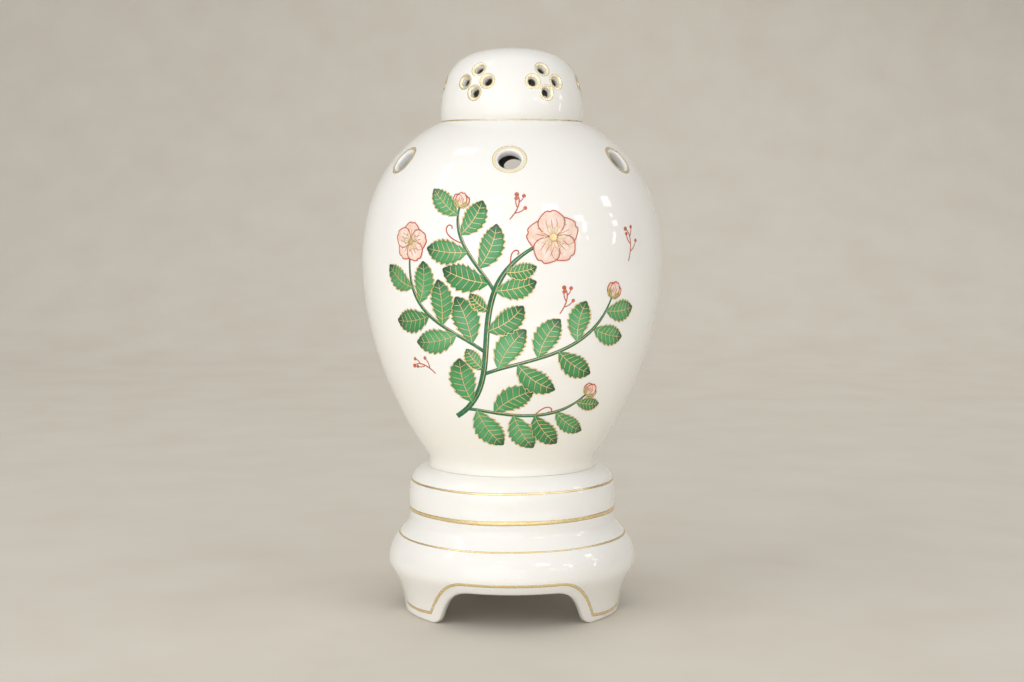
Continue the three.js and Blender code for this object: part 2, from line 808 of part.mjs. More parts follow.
// One wire: up from the stem, out, over in a low arc, and back down
function makeBulbFilament() {
  const foot = stemZ + stemHeight + seatGap;
  const near = stemTopRadius * 0.5;
  const top = foot + filamentRise;
  const half = [
    [near, foot],
    [near + wireSplay, foot + wireLead],
    [filamentSpan * 0.7, foot + filamentRise * 0.6],
    [filamentSpan, top - filamentDroop],
    [filamentSpan * 0.6, top - filamentSag],
  ];
  const corners = [
    ...half.map(([x, z]) => new THREE.Vector3(-x, 0, z)),
    new THREE.Vector3(0, 0, top),
    ...half.reverse().map(([x, z]) => new THREE.Vector3(x, 0, z)),
  ];
  const section = new THREE.Shape();
  section.absarc(0, 0, wireRadius, 0, 2 * Math.PI, false);
  return solidOf(new THREE.ExtrudeGeometry(section, {
    steps: 18,
    curveSegments: 3,
    bevelEnabled: false,
    extrudePath: new THREE.CatmullRomCurve3(corners),
  }));
}

// Finishes
const finish = (color, roughness, metalness) => (
  new THREE.MeshStandardMaterial({ color, roughness, metalness })
);
const porcelain = finish(0xf6f5f0, 0.12, 0);
const standPorcelain = finish(0xf2f2ee, 0.12, 0);
const brass = finish(0xc9a45a, 0.3, 1);
const steel = finish(0xb9bcc0, 0.35, 1);
const darkPlastic = finish(0x2b2521, 0.4, 0);
const steatite = finish(0xe9e3d2, 0.55, 0);
const fibre = finish(0x8a3b2a, 0.8, 0);
const palePlastic = finish(0xdedbd2, 0.45, 0);
const clearGlass = finish(0xf4f6f4, 0.03, 0);
const blackGlass = finish(0x15161a, 0.15, 0);
const tin = finish(0xc4c6c8, 0.4, 1);

const lamp = new THREE.Group();

function addPiece(name, solid, material) {
  const mesh = new THREE.Mesh(geometryOf(solid), material);
  mesh.name = name;
  lamp.add(mesh);
}

addPiece('stand', makeStand(), standPorcelain);
addPiece('vase_body', makeBody(), porcelain);
addPiece('lid', makeLid(), porcelain);
addPiece('scent_dish', makeScentDish(), porcelain);
addPiece('holder_cap', makeHolderCap(), darkPlastic);
addPiece('holder_skirt', makeHolderSkirt(), darkPlastic);
addPiece('holder_insert', makeHolderInsert(), steatite);
addPiece('holder_thread_sleeve', makeThreadSleeve(), brass);
addPiece('holder_centre_contact', makeCentreContact(), brass);
addPiece('terminal_screw_left', makeTerminalScrew(-1), brass);
addPiece('terminal_screw_right', makeTerminalScrew(1), brass);
addPiece('threaded_tube', makeThreadedTube(), steel);
addPiece('upper_washer', makeWasher(floorHeight + seatGap), fibre);
addPiece('lower_washer', makeWasher(lowerWasherZ), fibre);
addPiece('lock_washer', makeLockWasher(), steel);
addPiece('hex_nut', makeHexNut(), brass);
addPiece('cable_bushing', makeCableBushing(), palePlastic);
addPiece('bulb_contact', makeBulbContact(), tin);
addPiece('bulb_insulator', makeBulbInsulator(), blackGlass);
addPiece('bulb_cap', makeBulbCap(), brass);
addPiece('bulb_glass', makeBulbGlass(), clearGlass);
addPiece('bulb_stem', makeBulbStem(), clearGlass);
addPiece('bulb_filament', makeBulbFilament(), steel);

export default lamp;
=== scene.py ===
# Porcelain aroma lamp: glazed, gilt and painted porcelain round a small screw bulb.
import math

import bmesh
import bpy
import numpy as np
from mathutils import Matrix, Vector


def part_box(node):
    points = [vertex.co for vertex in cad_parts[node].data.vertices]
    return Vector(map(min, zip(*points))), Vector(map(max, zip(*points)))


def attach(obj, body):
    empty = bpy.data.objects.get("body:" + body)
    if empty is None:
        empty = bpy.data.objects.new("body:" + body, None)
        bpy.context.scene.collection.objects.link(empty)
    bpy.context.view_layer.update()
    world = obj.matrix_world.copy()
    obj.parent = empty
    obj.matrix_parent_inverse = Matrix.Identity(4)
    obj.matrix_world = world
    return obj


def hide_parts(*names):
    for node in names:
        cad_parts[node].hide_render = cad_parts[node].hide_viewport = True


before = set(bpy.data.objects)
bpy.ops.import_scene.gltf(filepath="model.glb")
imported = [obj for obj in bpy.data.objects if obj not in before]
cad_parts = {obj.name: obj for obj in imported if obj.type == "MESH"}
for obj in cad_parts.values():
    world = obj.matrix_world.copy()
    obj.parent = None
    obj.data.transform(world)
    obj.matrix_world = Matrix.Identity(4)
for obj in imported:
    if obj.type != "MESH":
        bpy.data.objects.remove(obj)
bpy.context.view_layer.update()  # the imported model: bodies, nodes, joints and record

mm = 0.001
fullTurn = 2 * math.pi
closeGap = 0.05  # pieces that rest on each other are drawn almost closed
print("stage: frame loaded")


# Surfaces

def bezier(a, b, c, d, count):
    # A cubic curve: the four corners weighted by the binomial terms of t and 1 - t
    t = np.linspace(0, 1, count)[:, None]
    a, b, c, d = (np.array(corner, float) for corner in (a, b, c, d))
    return a * (1 - t) ** 3 + 3 * b * t * (1 - t) ** 2 + 3 * c * t * t * (1 - t) + d * t ** 3


def curved(corners, pulls):
    # Cubic curves from corner to corner; each has the pulls at its start and end, and its points
    corners = np.array(corners, float)
    return [bezier(start, start + near, end + far, end, count)
            for start, end, (near, far, count) in zip(corners, corners[1:], pulls)]


def unit(vectors):
    return vectors / np.linalg.norm(vectors, axis=-1, keepdims=True)


def runAlong(points):
    return np.r_[0, np.cumsum(np.linalg.norm(np.diff(points, axis=0), axis=1))]


def evenTurn(count):
    return np.arange(count) * fullTurn / count


def roundedPath(corners, closed=False, steps=4):
    # Straight runs whose corners (radius, height, round) become short quadratic curves
    # A spare point just before and after each curve keeps the flats flat under smooth shading
    points = np.array([corner[:2] for corner in corners], float)
    rounds = np.array([corner[2] for corner in corners], float)[:, None]
    before = np.roll(points, 1, axis=0) - points
    after = np.roll(points, -1, axis=0) - points
    if not closed:
        before[0] = 0
        after[-1] = 0
    lengthBefore = np.maximum(np.linalg.norm(before, axis=1, keepdims=True), 1e-9)
    lengthAfter = np.maximum(np.linalg.norm(after, axis=1, keepdims=True), 1e-9)
    reachBefore = np.minimum(rounds, lengthBefore * 0.4)
    reachAfter = np.minimum(rounds, lengthAfter * 0.4)
    start = points + before / lengthBefore * reachBefore
    end = points + after / lengthAfter * reachAfter
    q = np.linspace(0, 1, steps + 1)[None, :, None]
    curve = start[:, None] * (1 - q) ** 2 + 2 * points[:, None] * q * (1 - q) + end[:, None] * q * q
    first = points + before / lengthBefore * reachBefore * 1.2
    last = points + after / lengthAfter * reachAfter * 1.2
    return np.concatenate([first[:, None], curve, last[:, None]], axis=1).reshape(-1, 2)


def outlineOf(*stretches):
    # An outline that runs up the outside of a form, with the length along it and its outward normal
    points = np.vstack(stretches)
    apart = np.r_[True, np.linalg.norm(np.diff(points, axis=0), axis=1) > 1e-5]
    points = points[apart]
    length = runAlong(points)
    way = unit(np.gradient(points, length, axis=0))
    return {"points": points, "length": length, "normal": np.stack([way[:, 1], -way[:, 0]], axis=1)}


def sampleOutline(outline, length, depth=0.0):
    # Radius, height and normal at a length along the outline, sunk by a depth below it
    values = [np.interp(length, outline["length"], column)
              for column in (*outline["points"].T, *outline["normal"].T)]
    radius, height, normalR, normalZ = values
    return radius - depth * normalR, height - depth * normalZ, normalR, normalZ


def polar(radius, angle, height):
    # Points at an angle round the axis, where 0 is the front and +90 degrees is the right side
    return np.stack(np.broadcast_arrays(radius * np.sin(angle), -radius * np.cos(angle), height), axis=-1)


def around(outline, angle, length, depth=0.0):
    radius, height, _, _ = sampleOutline(outline, length, depth)
    return polar(radius, angle, height)


def lengthAt(outline, height):
    return np.interp(height, outline["points"][:, 1], outline["length"])


def revolved(path, angles):
    # Every point of a (radius, height) path at every angle
    return polar(path[:, :1], angles, path[:, 1:])


def gridQuads(rows, columns, wrapRows=False, wrapColumns=False, hole=None):
    # The quads between neighbouring rows and columns; hole marks (row, column) cells that are left out
    index = np.arange(rows * columns).reshape(rows, columns)
    if wrapRows:
        index = np.vstack([index, index[:1]])
    if wrapColumns:
        index = np.hstack([index, index[:, :1]])
    quads = np.stack([index[:-1, :-1], index[:-1, 1:], index[1:, 1:], index[1:, :-1]], axis=-1)
    return quads[~hole] if hole is not None else quads.reshape(-1, 4)


def gridPart(points, **wraps):
    rows, columns = points.shape[:2]
    return points.reshape(-1, 3), gridQuads(rows, columns, **wraps)


def joined(parts):
    # One list of points and quads, with points that coincide to a ten-thousandth of a mm made one
    starts = np.cumsum([0] + [len(part[0]) for part in parts[:-1]])
    points = np.vstack([part[0] for part in parts])
    quads = np.vstack([part[1] + start for part, start in zip(parts, starts)])
    _, first, place = np.unique(np.rint(points * 1e4).astype(np.int64), axis=0,
                                return_index=True, return_inverse=True)
    return points[first], place.reshape(-1)[quads], first


def addPiece(name, parts, finish, body, replaces=(), attributes=()):
    # A mesh from parts in mm: points, quads and, where attributes are named, their values at each point
    points, quads, first = joined(parts)
    same = quads == np.roll(quads, -1, axis=1)  # a quad with two corners in one place is a triangle
    sizes = 4 - same.sum(axis=1)
    good = sizes >= 3
    corners = quads[good][~same[good]]
    sizes = sizes[good]
    mesh = bpy.data.meshes.new(name)
    mesh.vertices.add(len(points))
    mesh.vertices.foreach_set("co", (points * mm).ravel())
    mesh.loops.add(len(corners))
    mesh.loops.foreach_set("vertex_index", corners.astype(np.int32))
    mesh.polygons.add(len(sizes))
    mesh.polygons.foreach_set("loop_start", np.r_[0, np.cumsum(sizes)[:-1]].astype(np.int32))
    mesh.update(calc_edges=True)
    mesh.validate()
    if attributes:
        values = np.vstack([part[2] for part in parts])[first]
        for label, column in zip(attributes, values.T):
            attribute = mesh.attributes.new(label, "FLOAT", "POINT")
            attribute.data.foreach_set("value", np.ascontiguousarray(column, np.float32))
    solid = bmesh.new()
    solid.from_mesh(mesh)
    bmesh.ops.recalc_face_normals(solid, faces=solid.faces)
    solid.to_mesh(mesh)
    solid.free()
    mesh.shade_smooth()
    mesh.materials.append(finish)
    piece = bpy.data.objects.new(name, mesh)
    bpy.context.scene.collection.objects.link(piece)
    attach(piece, body)
    if replaces:
        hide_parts(*replaces)
    return piece


def turned(corners):
    # A turned form: a closed outline of (radius, height, round) corners revolved round the axis
    path = roundedPath(corners, closed=True, steps=3)
    return gridPart(revolved(path, evenTurn(72)), wrapRows=True, wrapColumns=True)


def shapedTurning(corners, change, columns, spacing, steps):
    # A turned form taken at even steps along its outline, so that change(radius, height, angle) can
    # work a thread, ribs or teeth into its radius
    path = roundedPath(corners, closed=True, steps=steps)
    path = np.vstack([path, path[:1]])
    run = np.r_[0, np.cumsum(np.linalg.norm(np.diff(path, axis=0), axis=1) + 1e-9)]
    even = np.union1d(run, np.arange(0, run[-1], spacing))[:-1]
    radius, height = (np.interp(even, run, column)[:, None] for column in path.T)
    angles = evenTurn(columns)
    return gridPart(polar(change(radius, height, angles), angles, height), wrapRows=True, wrapColumns=True)


def wirePart(path, radius, reference, sides):
    # A round wire along a path in mm, closed at both ends; reference is never along the path
    way = unit(np.gradient(path, axis=0))
    first = unit(np.cross(way, reference))
    second = np.cross(way, first)
    theta = evenTurn(sides)[:, None]
    rings = path[:, None] + radius * (first[:, None] * np.cos(theta) + second[:, None] * np.sin(theta))
    ends = [np.repeat(path[[end]], sides, axis=0)[None] for end in (0, -1)]
    return gridPart(np.concatenate([ends[0], rings, ends[1]]), wrapColumns=True)


def nodeSpan(node):
    # Lowest and highest z of a CAD node, in mm
    low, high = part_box(node)
    return low.z / mm, high.z / mm


# Holes drilled square to a shell

boreCorrections = 14  # enough to find the mouth of a bore to a thousandth of a mm


def boreRing(outline, centre, depth, radius, theta):
    # Where a circle round the bore's axis meets the surface, found by a few corrections
    angle0, length0 = centre
    radius0, _, normalR, normalZ = sampleOutline(outline, length0, 0.0)
    middle = around(outline, angle0, length0, depth)
    across = np.array([math.cos(angle0), math.sin(angle0), 0.0])
    upward = np.array([-normalZ * math.sin(angle0), normalZ * math.cos(angle0), normalR])
    want = radius * np.stack([np.cos(theta), np.sin(theta)])
    aside, along = want.copy()
    for _ in range(boreCorrections):
        offset = around(outline, angle0 + aside / radius0, length0 + along, depth) - middle
        aside = aside + want[0] - offset @ across
        along = along + want[1] - offset @ upward
    return angle0 + aside / radius0, length0 + along


def boreAxis(outline, centre):
    _, _, normalR, normalZ = sampleOutline(outline, centre[1], 0.0)
    return np.array([normalR * math.sin(centre[0]), -normalR * math.cos(centre[0]), float(normalZ)])


def quarterRound(near, corner, far, steps, share=1.0):
    # A quarter of an ellipse from near to far, or a share of it, bulging towards the corner
    q = np.linspace(0, math.pi / 2 * share, steps + 1)[:, None, None]
    return corner + (near - corner) * (1 - np.sin(q)) + (far - corner) * (1 - np.cos(q))


def drilledPart(outline, centre, border, wall, hole, rings):
    # From the border on the outer face to the mouth, over its lip, down the bore and out on the inner face
    theta = hole["start"] + evenTurn(len(border[0]))
    rounds = [(0.0, hole["round"], -1), (wall, hole["innerRound"], 1)]
    axis = boreAxis(outline, centre)
    share = np.linspace(0, 1, rings + 1)[:-1, None]
    sides = []
    for depth, roundSize, way in rounds:
        mouthAngle, mouthLength = boreRing(outline, centre, depth, hole["radius"] + roundSize, theta)
        edge = around(outline, *boreRing(outline, centre, depth, hole["radius"], theta), depth)
        plain = around(outline, border[0] + (mouthAngle - border[0]) * share,
                       border[1] + (mouthLength - border[1]) * share, depth)
        mouth = around(outline, mouthAngle, mouthLength, depth)
        lip = quarterRound(mouth, edge, edge + way * roundSize * axis, hole["lipSteps"])
        sides.append(np.concatenate([plain, lip]))
    return gridPart(np.concatenate([sides[0], sides[1][::-1]]), wrapColumns=True)


coat = {"rise": 0.05, "edgeRise": 0.004, "sink": 0.05, "mouthSink": 0.06,  # mm over and under the glaze
        "mouthRows": 6, "lineRows": 7}


def domed(place):
    # The rise of a brush stroke over its width: half a circle from place -1 to 1
    return np.sqrt(np.maximum(1 - place ** 2, 0))


def mouthRing(outline, centre, hole):
    # Gold round a drilled mouth: from beyond it on the glaze to a share of the way down its lip
    # Its value is 1 along the outer edge and fades inwards; the gold is darker there, partly from the brush's
    # ridge, partly as painted shade
    theta = evenTurn(hole["giltColumns"])
    axis = boreAxis(outline, centre)
    sizes = hole["radius"] + hole["round"] + hole["giltBeyond"] * np.linspace(1, 0, coat["mouthRows"])
    flat = np.stack([around(outline, *boreRing(outline, centre, 0.0, size, theta)) for size in sizes])
    edge = around(outline, *boreRing(outline, centre, 0.0, hole["radius"], theta))
    far = edge - hole["round"] * axis
    lip = quarterRound(flat[-1], edge, far, coat["mouthRows"] - 1, hole["giltShare"])[1:]
    line = np.concatenate([flat, lip])
    out = np.concatenate([np.broadcast_to(axis, flat.shape), unit(lip - (flat[-1] + far - edge))])
    run = np.r_[0, np.cumsum(np.linalg.norm(np.diff(line, axis=0), axis=2).mean(axis=1))]
    place = (2 * run / run[-1] - 1)[:, None, None]
    face = line + out * (coat["rise"] * domed(place) + coat["edgeRise"])
    back = line - out * coat["mouthSink"]
    shade = np.broadcast_to((np.where(place < 0, 1.0, 0.4) * place ** 4)[:, :, 0], line.shape[:2])
    part = gridPart(np.concatenate([face, back[::-1]]), wrapRows=True, wrapColumns=True)
    return (*part, np.concatenate([shade, shade[::-1]]).reshape(-1, 1))


def squareBorder(angles, lengths):
    # Once round a window of the grid, anticlockwise from its lower left corner
    angle = np.r_[angles[:-1], np.repeat(angles[-1], len(lengths) - 1), angles[:0:-1],
                  np.repeat(angles[0], len(lengths) - 1)]
    length = np.r_[np.repeat(lengths[0], len(angles) - 1), lengths[:-1],
                   np.repeat(lengths[-1], len(angles) - 1), lengths[:0:-1]]
    return angle, length


def windowAngles(turn, count, half, inside, outside):
    # Columns for count windows round the axis: inside steps across a window, outside steps between two
    sector = fullTurn / count
    local = np.r_[np.linspace(-half, half, inside + 1), np.linspace(half, sector - half, outside + 1)[1:-1]]
    return (turn + sector * np.arange(count)[:, None] + local).ravel()


def spaced(start, end, step):
    return np.linspace(start, end, max(2, int(math.ceil((end - start) / step)) + 1))


def windowedWalls(outline, wall, angles, window, runs, inside, between):
    # The outer and the inner face of a wall as grids whose windows are left open: the rows of the
    # window, and the first inside columns of every sector
    parts = []
    for depth, (start, end, below, above) in zip((0.0, wall), runs):
        rows = np.r_[spaced(start, window[0], below)[:-1], window, spaced(window[-1], end, above)[1:]]
        first = int(np.searchsorted(rows, window[0] - 1e-6))
        row = np.arange(len(rows) - 1)[:, None]
        column = np.arange(len(angles))[None, :]
        hole = (row >= first) & (row < first + inside) & (column % (inside + between) < inside)
        parts.append(gridPart(around(outline, angles, rows[:, None], depth), wrapColumns=True, hole=hole))
    return parts


# Thin layers on the glaze: gilding and enamel

def layerPart(outline, angle, length, rise, values, wrapColumns=False):
    # A closed skin over a patch of the glaze: its face stands proud by rise, its back is just sunk
    face = around(outline, angle, length, -rise)
    back = around(outline, angle, length, coat["sink"])
    rows, columns = angle.shape
    top = gridQuads(rows, columns, wrapColumns=wrapColumns)
    index = np.arange(rows * columns).reshape(rows, columns)
    size = rows * columns
    edges = [index[0], index[-1]]
    if not wrapColumns:
        edges += [index[:, 0], index[:, -1]]
    sides = []
    for edge in edges:
        loop = np.r_[edge, edge[:1]] if wrapColumns else edge
        sides.append(np.stack([loop[:-1], loop[1:], loop[1:] + size, loop[:-1] + size], axis=1))
    quads = np.vstack([top, top[:, ::-1] + size, *sides])
    values = np.stack([np.broadcast_to(value, angle.shape).ravel() for value in values], axis=1)
    return np.vstack([face.reshape(-1, 3), back.reshape(-1, 3)]), quads, np.vstack([values, values])


def wheelLine(outline, angle, length, width, rise, radius):
    # A closed painted line round the axis, rounded over its width; its value is 1 along both edges
    aside = angle * radius
    wayS = np.roll(aside, -1) - np.roll(aside, 1)
    wayS[[0, -1]] += fullTurn * radius * np.sign(angle[-1] - angle[0]) * (abs(wayS[0]) > radius)
    wayT = np.roll(length, -1) - np.roll(length, 1)
    size = np.maximum(np.hypot(wayS, wayT), 1e-9)
    place = np.linspace(-1, 1, coat["lineRows"])[:, None]
    half = place * np.broadcast_to(np.asarray(width, float) / 2, aside.shape)
    height = np.broadcast_to(rise * domed(place) + coat["edgeRise"], half.shape)
    return layerPart(outline, (aside - half * wayT / size) / radius, length + half * wayS / size,
                     height, [np.abs(place) ** 3], wrapColumns=True)


# Materials

def toLinear(colour):
    # sRGB hex to linear light
    channels = np.array([int(colour[i:i + 2], 16) for i in (1, 3, 5)]) / 255
    linear = np.where(channels <= 0.04045, channels / 12.92, ((channels + 0.055) / 1.055) ** 2.4)
    return (*linear.tolist(), 1.0)


def perMm(size):
    return 1 / (size * mm)  # texture scale for features of that size, on Object coordinates in metres


def addNode(tree, kind, settings=None, links=None):
    # One node, with its settings and input values by name or number, and links from other sockets
    node = tree.nodes.new(kind)
    for key, value in (settings or {}).items():
        if isinstance(key, str) and key not in node.inputs:
            setattr(node, key, value)
        else:
            node.inputs[key].default_value = value
    for key, source in (links or {}).items():
        tree.links.new(source, node.inputs[key])
    return node


def newMaterial(name):
    material = bpy.data.materials.new(name)
    material.use_nodes = True
    material.node_tree.nodes.clear()
    place = addNode(material.node_tree, "ShaderNodeTexCoord").outputs["Object"]
    return material, material.node_tree, place


def principled(material, settings, links):
    # The shader and the output that complete a material
    shader = addNode(material.node_tree, "ShaderNodeBsdfPrincipled", settings, links)
    addNode(material.node_tree, "ShaderNodeOutputMaterial", links={"Surface": shader.outputs[0]})
    return material


def spread(tree, value, low, high, toLow=0.0, toHigh=1.0):
    return addNode(tree, "ShaderNodeMapRange",
                   {"From Min": low, "From Max": high, "To Min": toLow, "To Max": toHigh},
                   {"Value": value}).outputs["Result"]


def noiseAt(tree, place, size, detail=2.0):
    return addNode(tree, "ShaderNodeTexNoise", {"Scale": perMm(size), "Detail": detail},
                   {"Vector": place}).outputs["Fac"]


def patches(tree, place, size, detail, *span):
    return spread(tree, noiseAt(tree, place, size, detail), *span)


def stretched(tree, place, scale):
    return addNode(tree, "ShaderNodeMapping", {"Scale": scale}, {"Vector": place}).outputs[0]


def valueOf(tree, label):
    return addNode(tree, "ShaderNodeAttribute", {"attribute_name": label}).outputs["Fac"]


def mixColours(tree, factor, first, second):
    # first and second are hex colours or sockets
    node = addNode(tree, "ShaderNodeMix", {"data_type": "RGBA"}, {0: factor})
    for slot, colour in ((6, first), (7, second)):
        if isinstance(colour, str):
            node.inputs[slot].default_value = toLinear(colour)
        else:
            tree.links.new(colour, node.inputs[slot])
    return node.outputs[2]


def bumpOf(tree, height, distance):
    return addNode(tree, "ShaderNodeBump", {"Distance": distance * mm}, {"Height": height}).outputs["Normal"]


glaze = {
    "ior": 1.52, "roughness": 0.06, "bareRoughness": 0.6, "waveSize": 6.0, "waveStretch": 0.3,
    "waveHeight": 0.02, "cloudSize": 38.0, "cloudStrength": 0.3, "biscuit": "#e6ddcb",
    "speck": "#9b8c78", "speckSpacing": 11.0, "speckStrength": 0.3, "speckSpan": (0.010, 0.016),
    "scatter": 0.08, "scatterDepth": 2.0,
}  # sizes in mm, and the span of a speck in shares of their spacing


def glazedPorcelain(name, white, cream, floorReflectionSpan, bareBelow):
    # Hard-paste porcelain dipped in clear glaze: bright gloss over faint throwing rings, creamier in random
    # clouds and towards its lower end, where a warm reflection of the floor is painted into the colour,
    # and matt biscuit where the foot was wiped clean for firing
    material, tree, place = newMaterial(name)
    height = addNode(tree, "ShaderNodeSeparateXYZ", links={0: place}).outputs["Z"]
    # painted reflection: the colour turns creamier towards the lower end, standing in for warm light from the
    # floor
    paintedFloorReflection = spread(tree, height, floorReflectionSpan[1] * mm, floorReflectionSpan[0] * mm)
    cloud = patches(tree, place, glaze["cloudSize"], 2.0, 0.35, 0.65, 0.0, glaze["cloudStrength"])
    blend = addNode(tree, "ShaderNodeMath", {"operation": "ADD", "use_clamp": True},
                    {0: paintedFloorReflection, 1: cloud}).outputs[0]
    cells = addNode(tree, "ShaderNodeTexVoronoi", {"Scale": perMm(glaze["speckSpacing"])}, {"Vector": place})
    speck = spread(tree, cells.outputs["Distance"], *glaze["speckSpan"], glaze["speckStrength"], 0.0)
    bare = spread(tree, height, (bareBelow + 0.05) * mm, bareBelow * mm)
    colour = mixColours(tree, blend, white, cream)
    colour = mixColours(tree, speck, colour, glaze["speck"])
    colour = mixColours(tree, bare, colour, glaze["biscuit"])
    gloss = spread(tree, bare, 0.0, 1.0, glaze["roughness"], glaze["bareRoughness"])
    rings = stretched(tree, place, (glaze["waveStretch"], glaze["waveStretch"], 1.0))
    wave = bumpOf(tree, noiseAt(tree, rings, glaze["waveSize"], 1.0), glaze["waveHeight"])
    return principled(material, {"IOR": glaze["ior"], "Subsurface Weight": glaze["scatter"],
                                 "Subsurface Scale": glaze["scatterDepth"] * mm},
                      {"Base Color": colour, "Roughness": gloss, "Normal": wave})


gilt = {"metallic": 0.8, "roughness": (0.24, 0.36), "wearSize": 2.6, "brushSize": 1.5, "brushHeight": 0.002}


def burnishedGold(name, light, deep, rim):
    # Liquid bright gold brushed thinly on the glaze and fired: the white shows through a little, so it
    # is paler than solid gold, and it is darker along its edges: partly the ridge the brush leaves, partly
    # painted shade where the rounded gold turns from the light
    material, tree, place = newMaterial(name)
    wear = patches(tree, place, gilt["wearSize"], 4.0, 0.35, 0.7)
    # the rim colour along the edges is partly painted shade
    colour = mixColours(tree, valueOf(tree, "edge"), mixColours(tree, wear, light, deep), rim)
    gloss = spread(tree, wear, 0.0, 1.0, *gilt["roughness"])
    bump = bumpOf(tree, noiseAt(tree, place, gilt["brushSize"], 1.0), gilt["brushHeight"])
    return principled(material, {"Metallic": gilt["metallic"]},
                      {"Base Color": colour, "Roughness": gloss, "Normal": bump})


def leafEnamel(name):
    # Copper-green overglaze enamel: thick, glassy, lighter in the middle of a leaf, dark at its tip
    material, tree, place = newMaterial(name)
    middle = mixColours(tree, spread(tree, valueOf(tree, "aside"), 0.1, 1.0), "#74b987", "#43985a")
    colour = mixColours(tree, patches(tree, place, 4.0, 3.0, 0.3, 0.7), middle, "#4fa363")
    colour = mixColours(tree, valueOf(tree, "tone"), colour, "#2c7f46")
    colour = mixColours(tree, spread(tree, valueOf(tree, "along"), 0.6, 1.02), colour, "#123f2c")
    bump = bumpOf(tree, noiseAt(tree, place, 1.6), 0.02)
    return principled(material, {"IOR": 1.54, "Roughness": 0.12}, {"Base Color": colour, "Normal": bump})


def washEnamel(name, strong, thin, roughness, brush):
    # Enamel painted thinly over the glaze: uneven strength as the brush ran dry
    material, tree, place = newMaterial(name)
    colour = mixColours(tree, patches(tree, place, brush, 3.0, 0.3, 0.7), strong, thin)
    colour = mixColours(tree, valueOf(tree, "edge"), colour, strong)
    return principled(material, {"IOR": 1.5, "Roughness": roughness}, {"Base Color": colour})


def clearGlass(name, tint):
    # Thin blown soda-lime glass: clear, with the faint draw lines of the blowing
    material, tree, place = newMaterial(name)
    bump = bumpOf(tree, noiseAt(tree, stretched(tree, place, (1.0, 1.0, 0.2)), 5.0, 1.0), 0.006)
    return principled(material, {"Base Color": toLinear(tint), "Transmission Weight": 1.0, "IOR": 1.45,
                                 "Roughness": 0.01}, {"Normal": bump})


def grainedFinish(name, light, dark, roughness, lines, depth, blotch, uneven, settings):
    # A worked surface: blotched tone, and fine lines or grain that vary its gloss and its relief
    material, tree, place = newMaterial(name)
    grain, detail, scale = lines
    fine = noiseAt(tree, stretched(tree, place, scale), grain, detail)
    tone = patches(tree, place, *blotch, 0.7)
    gloss = spread(tree, fine, 0.3, 0.7, roughness * (1 - uneven[0]), roughness * (1 + uneven[1]))
    return principled(material, settings, {"Base Color": mixColours(tree, tone, light, dark),
                                           "Roughness": gloss, "Normal": bumpOf(tree, fine, depth)})


def metalFinish(name, light, dark, roughness, grain, stretch=(1.0, 1.0, 8.0), depth=0.006):
    # A drawn, turned or stamped metal: its tone and gloss vary along the tool's lines
    return grainedFinish(name, light, dark, roughness, (grain, 3.0, stretch), depth,
                         (5.0, 3.0, 0.35), (0.25, 0.3), {"Metallic": 1.0})


def mouldedFinish(name, light, dark, roughness, ior, grain, depth):
    # A moulded or pressed stuff: fine grain, faint flow marks and slightly uneven gloss
    return grainedFinish(name, light, dark, roughness, (grain, 2.0, (1.0, 1.0, 1.0)), depth,
                         (7.0, 3.0, 0.3), (0.2, 0.2), {"IOR": ior})


# after the two colours: the heights between which the painted floor reflection fades in, and the height below
# which the foot is bare
bodyGlaze = glazedPorcelain("bodyGlazedPorcelain", "#f6f5f2", "#f5f2ea", (70.0, 150.0), 61.3)
lidGlaze = glazedPorcelain("lidGlazedPorcelain", "#f6f5f2", "#f3f0e9", (210.0, 225.0), 217.0)
standGlaze = glazedPorcelain("standGlazedPorcelain", "#f5f4f1", "#f3f1eb", (-5.0, 30.0), 0.12)
dishGlaze = glazedPorcelain("dishGlazedPorcelain", "#f4f2ec", "#eee8da", (206.0, 222.0), 208.5)
# each gold: light and deep tones, then the darker rim colour, which is partly painted shade
lineGold = burnishedGold("brightGoldLines", "#fdebbc", "#f5db9e", "#c6a15a")
ringGold = burnishedGold("brightGoldRings", "#fff4d6", "#fbe9be", "#a9935c")
greenEnamel = leafEnamel("copperGreenEnamel")
stemEnamel = washEnamel("darkGreenEnamel", "#1f5a3c", "#3c8656", 0.14, 2.0)
ironRed = washEnamel("ironRedEnamel", "#bd4e34", "#d9805e", 0.2, 1.5)
blushWash = washEnamel("palePinkWash", "#f0c9b4", "#f8ece2", 0.12, 3.0)
print("stage: materials made")


# Body with six drilled vents

vase = {
    "solidFoot": nodeSpan("vase_body")[0] + 4.0, "foot": nodeSpan("stand")[1] + closeGap,
    "spigotDepth": 4.0, "ledge": nodeSpan("lid")[0] - 0.3, "neckTop": nodeSpan("vase_body")[1],
    "wall": 4.0, "turn": math.radians(-1.1), "edge": 0.2, "footRadius": 37.5, "waistRadius": 37.9,
    "flareHeight": 4.9, "bellyRadius": 66.6, "bellyHeight": 90.9, "ledgeRadius": 32.7,
    "pulls": (((-0.5, 1.4), (-1.3, -2.15), 30), ((13.3, 18.4), (0, -34.8), 400),
              ((0, 30.2), (21.7, -11.2), 400)),  # of the foot's flare, up to the belly, up to the ledge
    "neckOuter": 27.2, "neckInner": 23.7, "neckFillet": 2.0, "spigotOuter": 33.6, "spigotInner": 30.0,
    "ventCount": 6, "ventHeight": 135.6, "windowHalf": 9.6, "windowSteps": 12, "betweenSteps": 24,
    "outerRows": (1.7, 1.5), "innerRows": (2.6, 2.0), "windowRings": 3,  # rows below and above the vents
}  # the belly is 0.2 slimmer than the solid one, so that the painting on it stays within its size
vent = {"radius": 4.8, "round": 1.3, "innerRound": 0.4, "lipSteps": 5, "start": -0.75 * math.pi,
        "giltBeyond": 1.15, "giltShare": 0.12, "giltColumns": 48}
vase["belly"] = vase["solidFoot"] + vase["bellyHeight"]


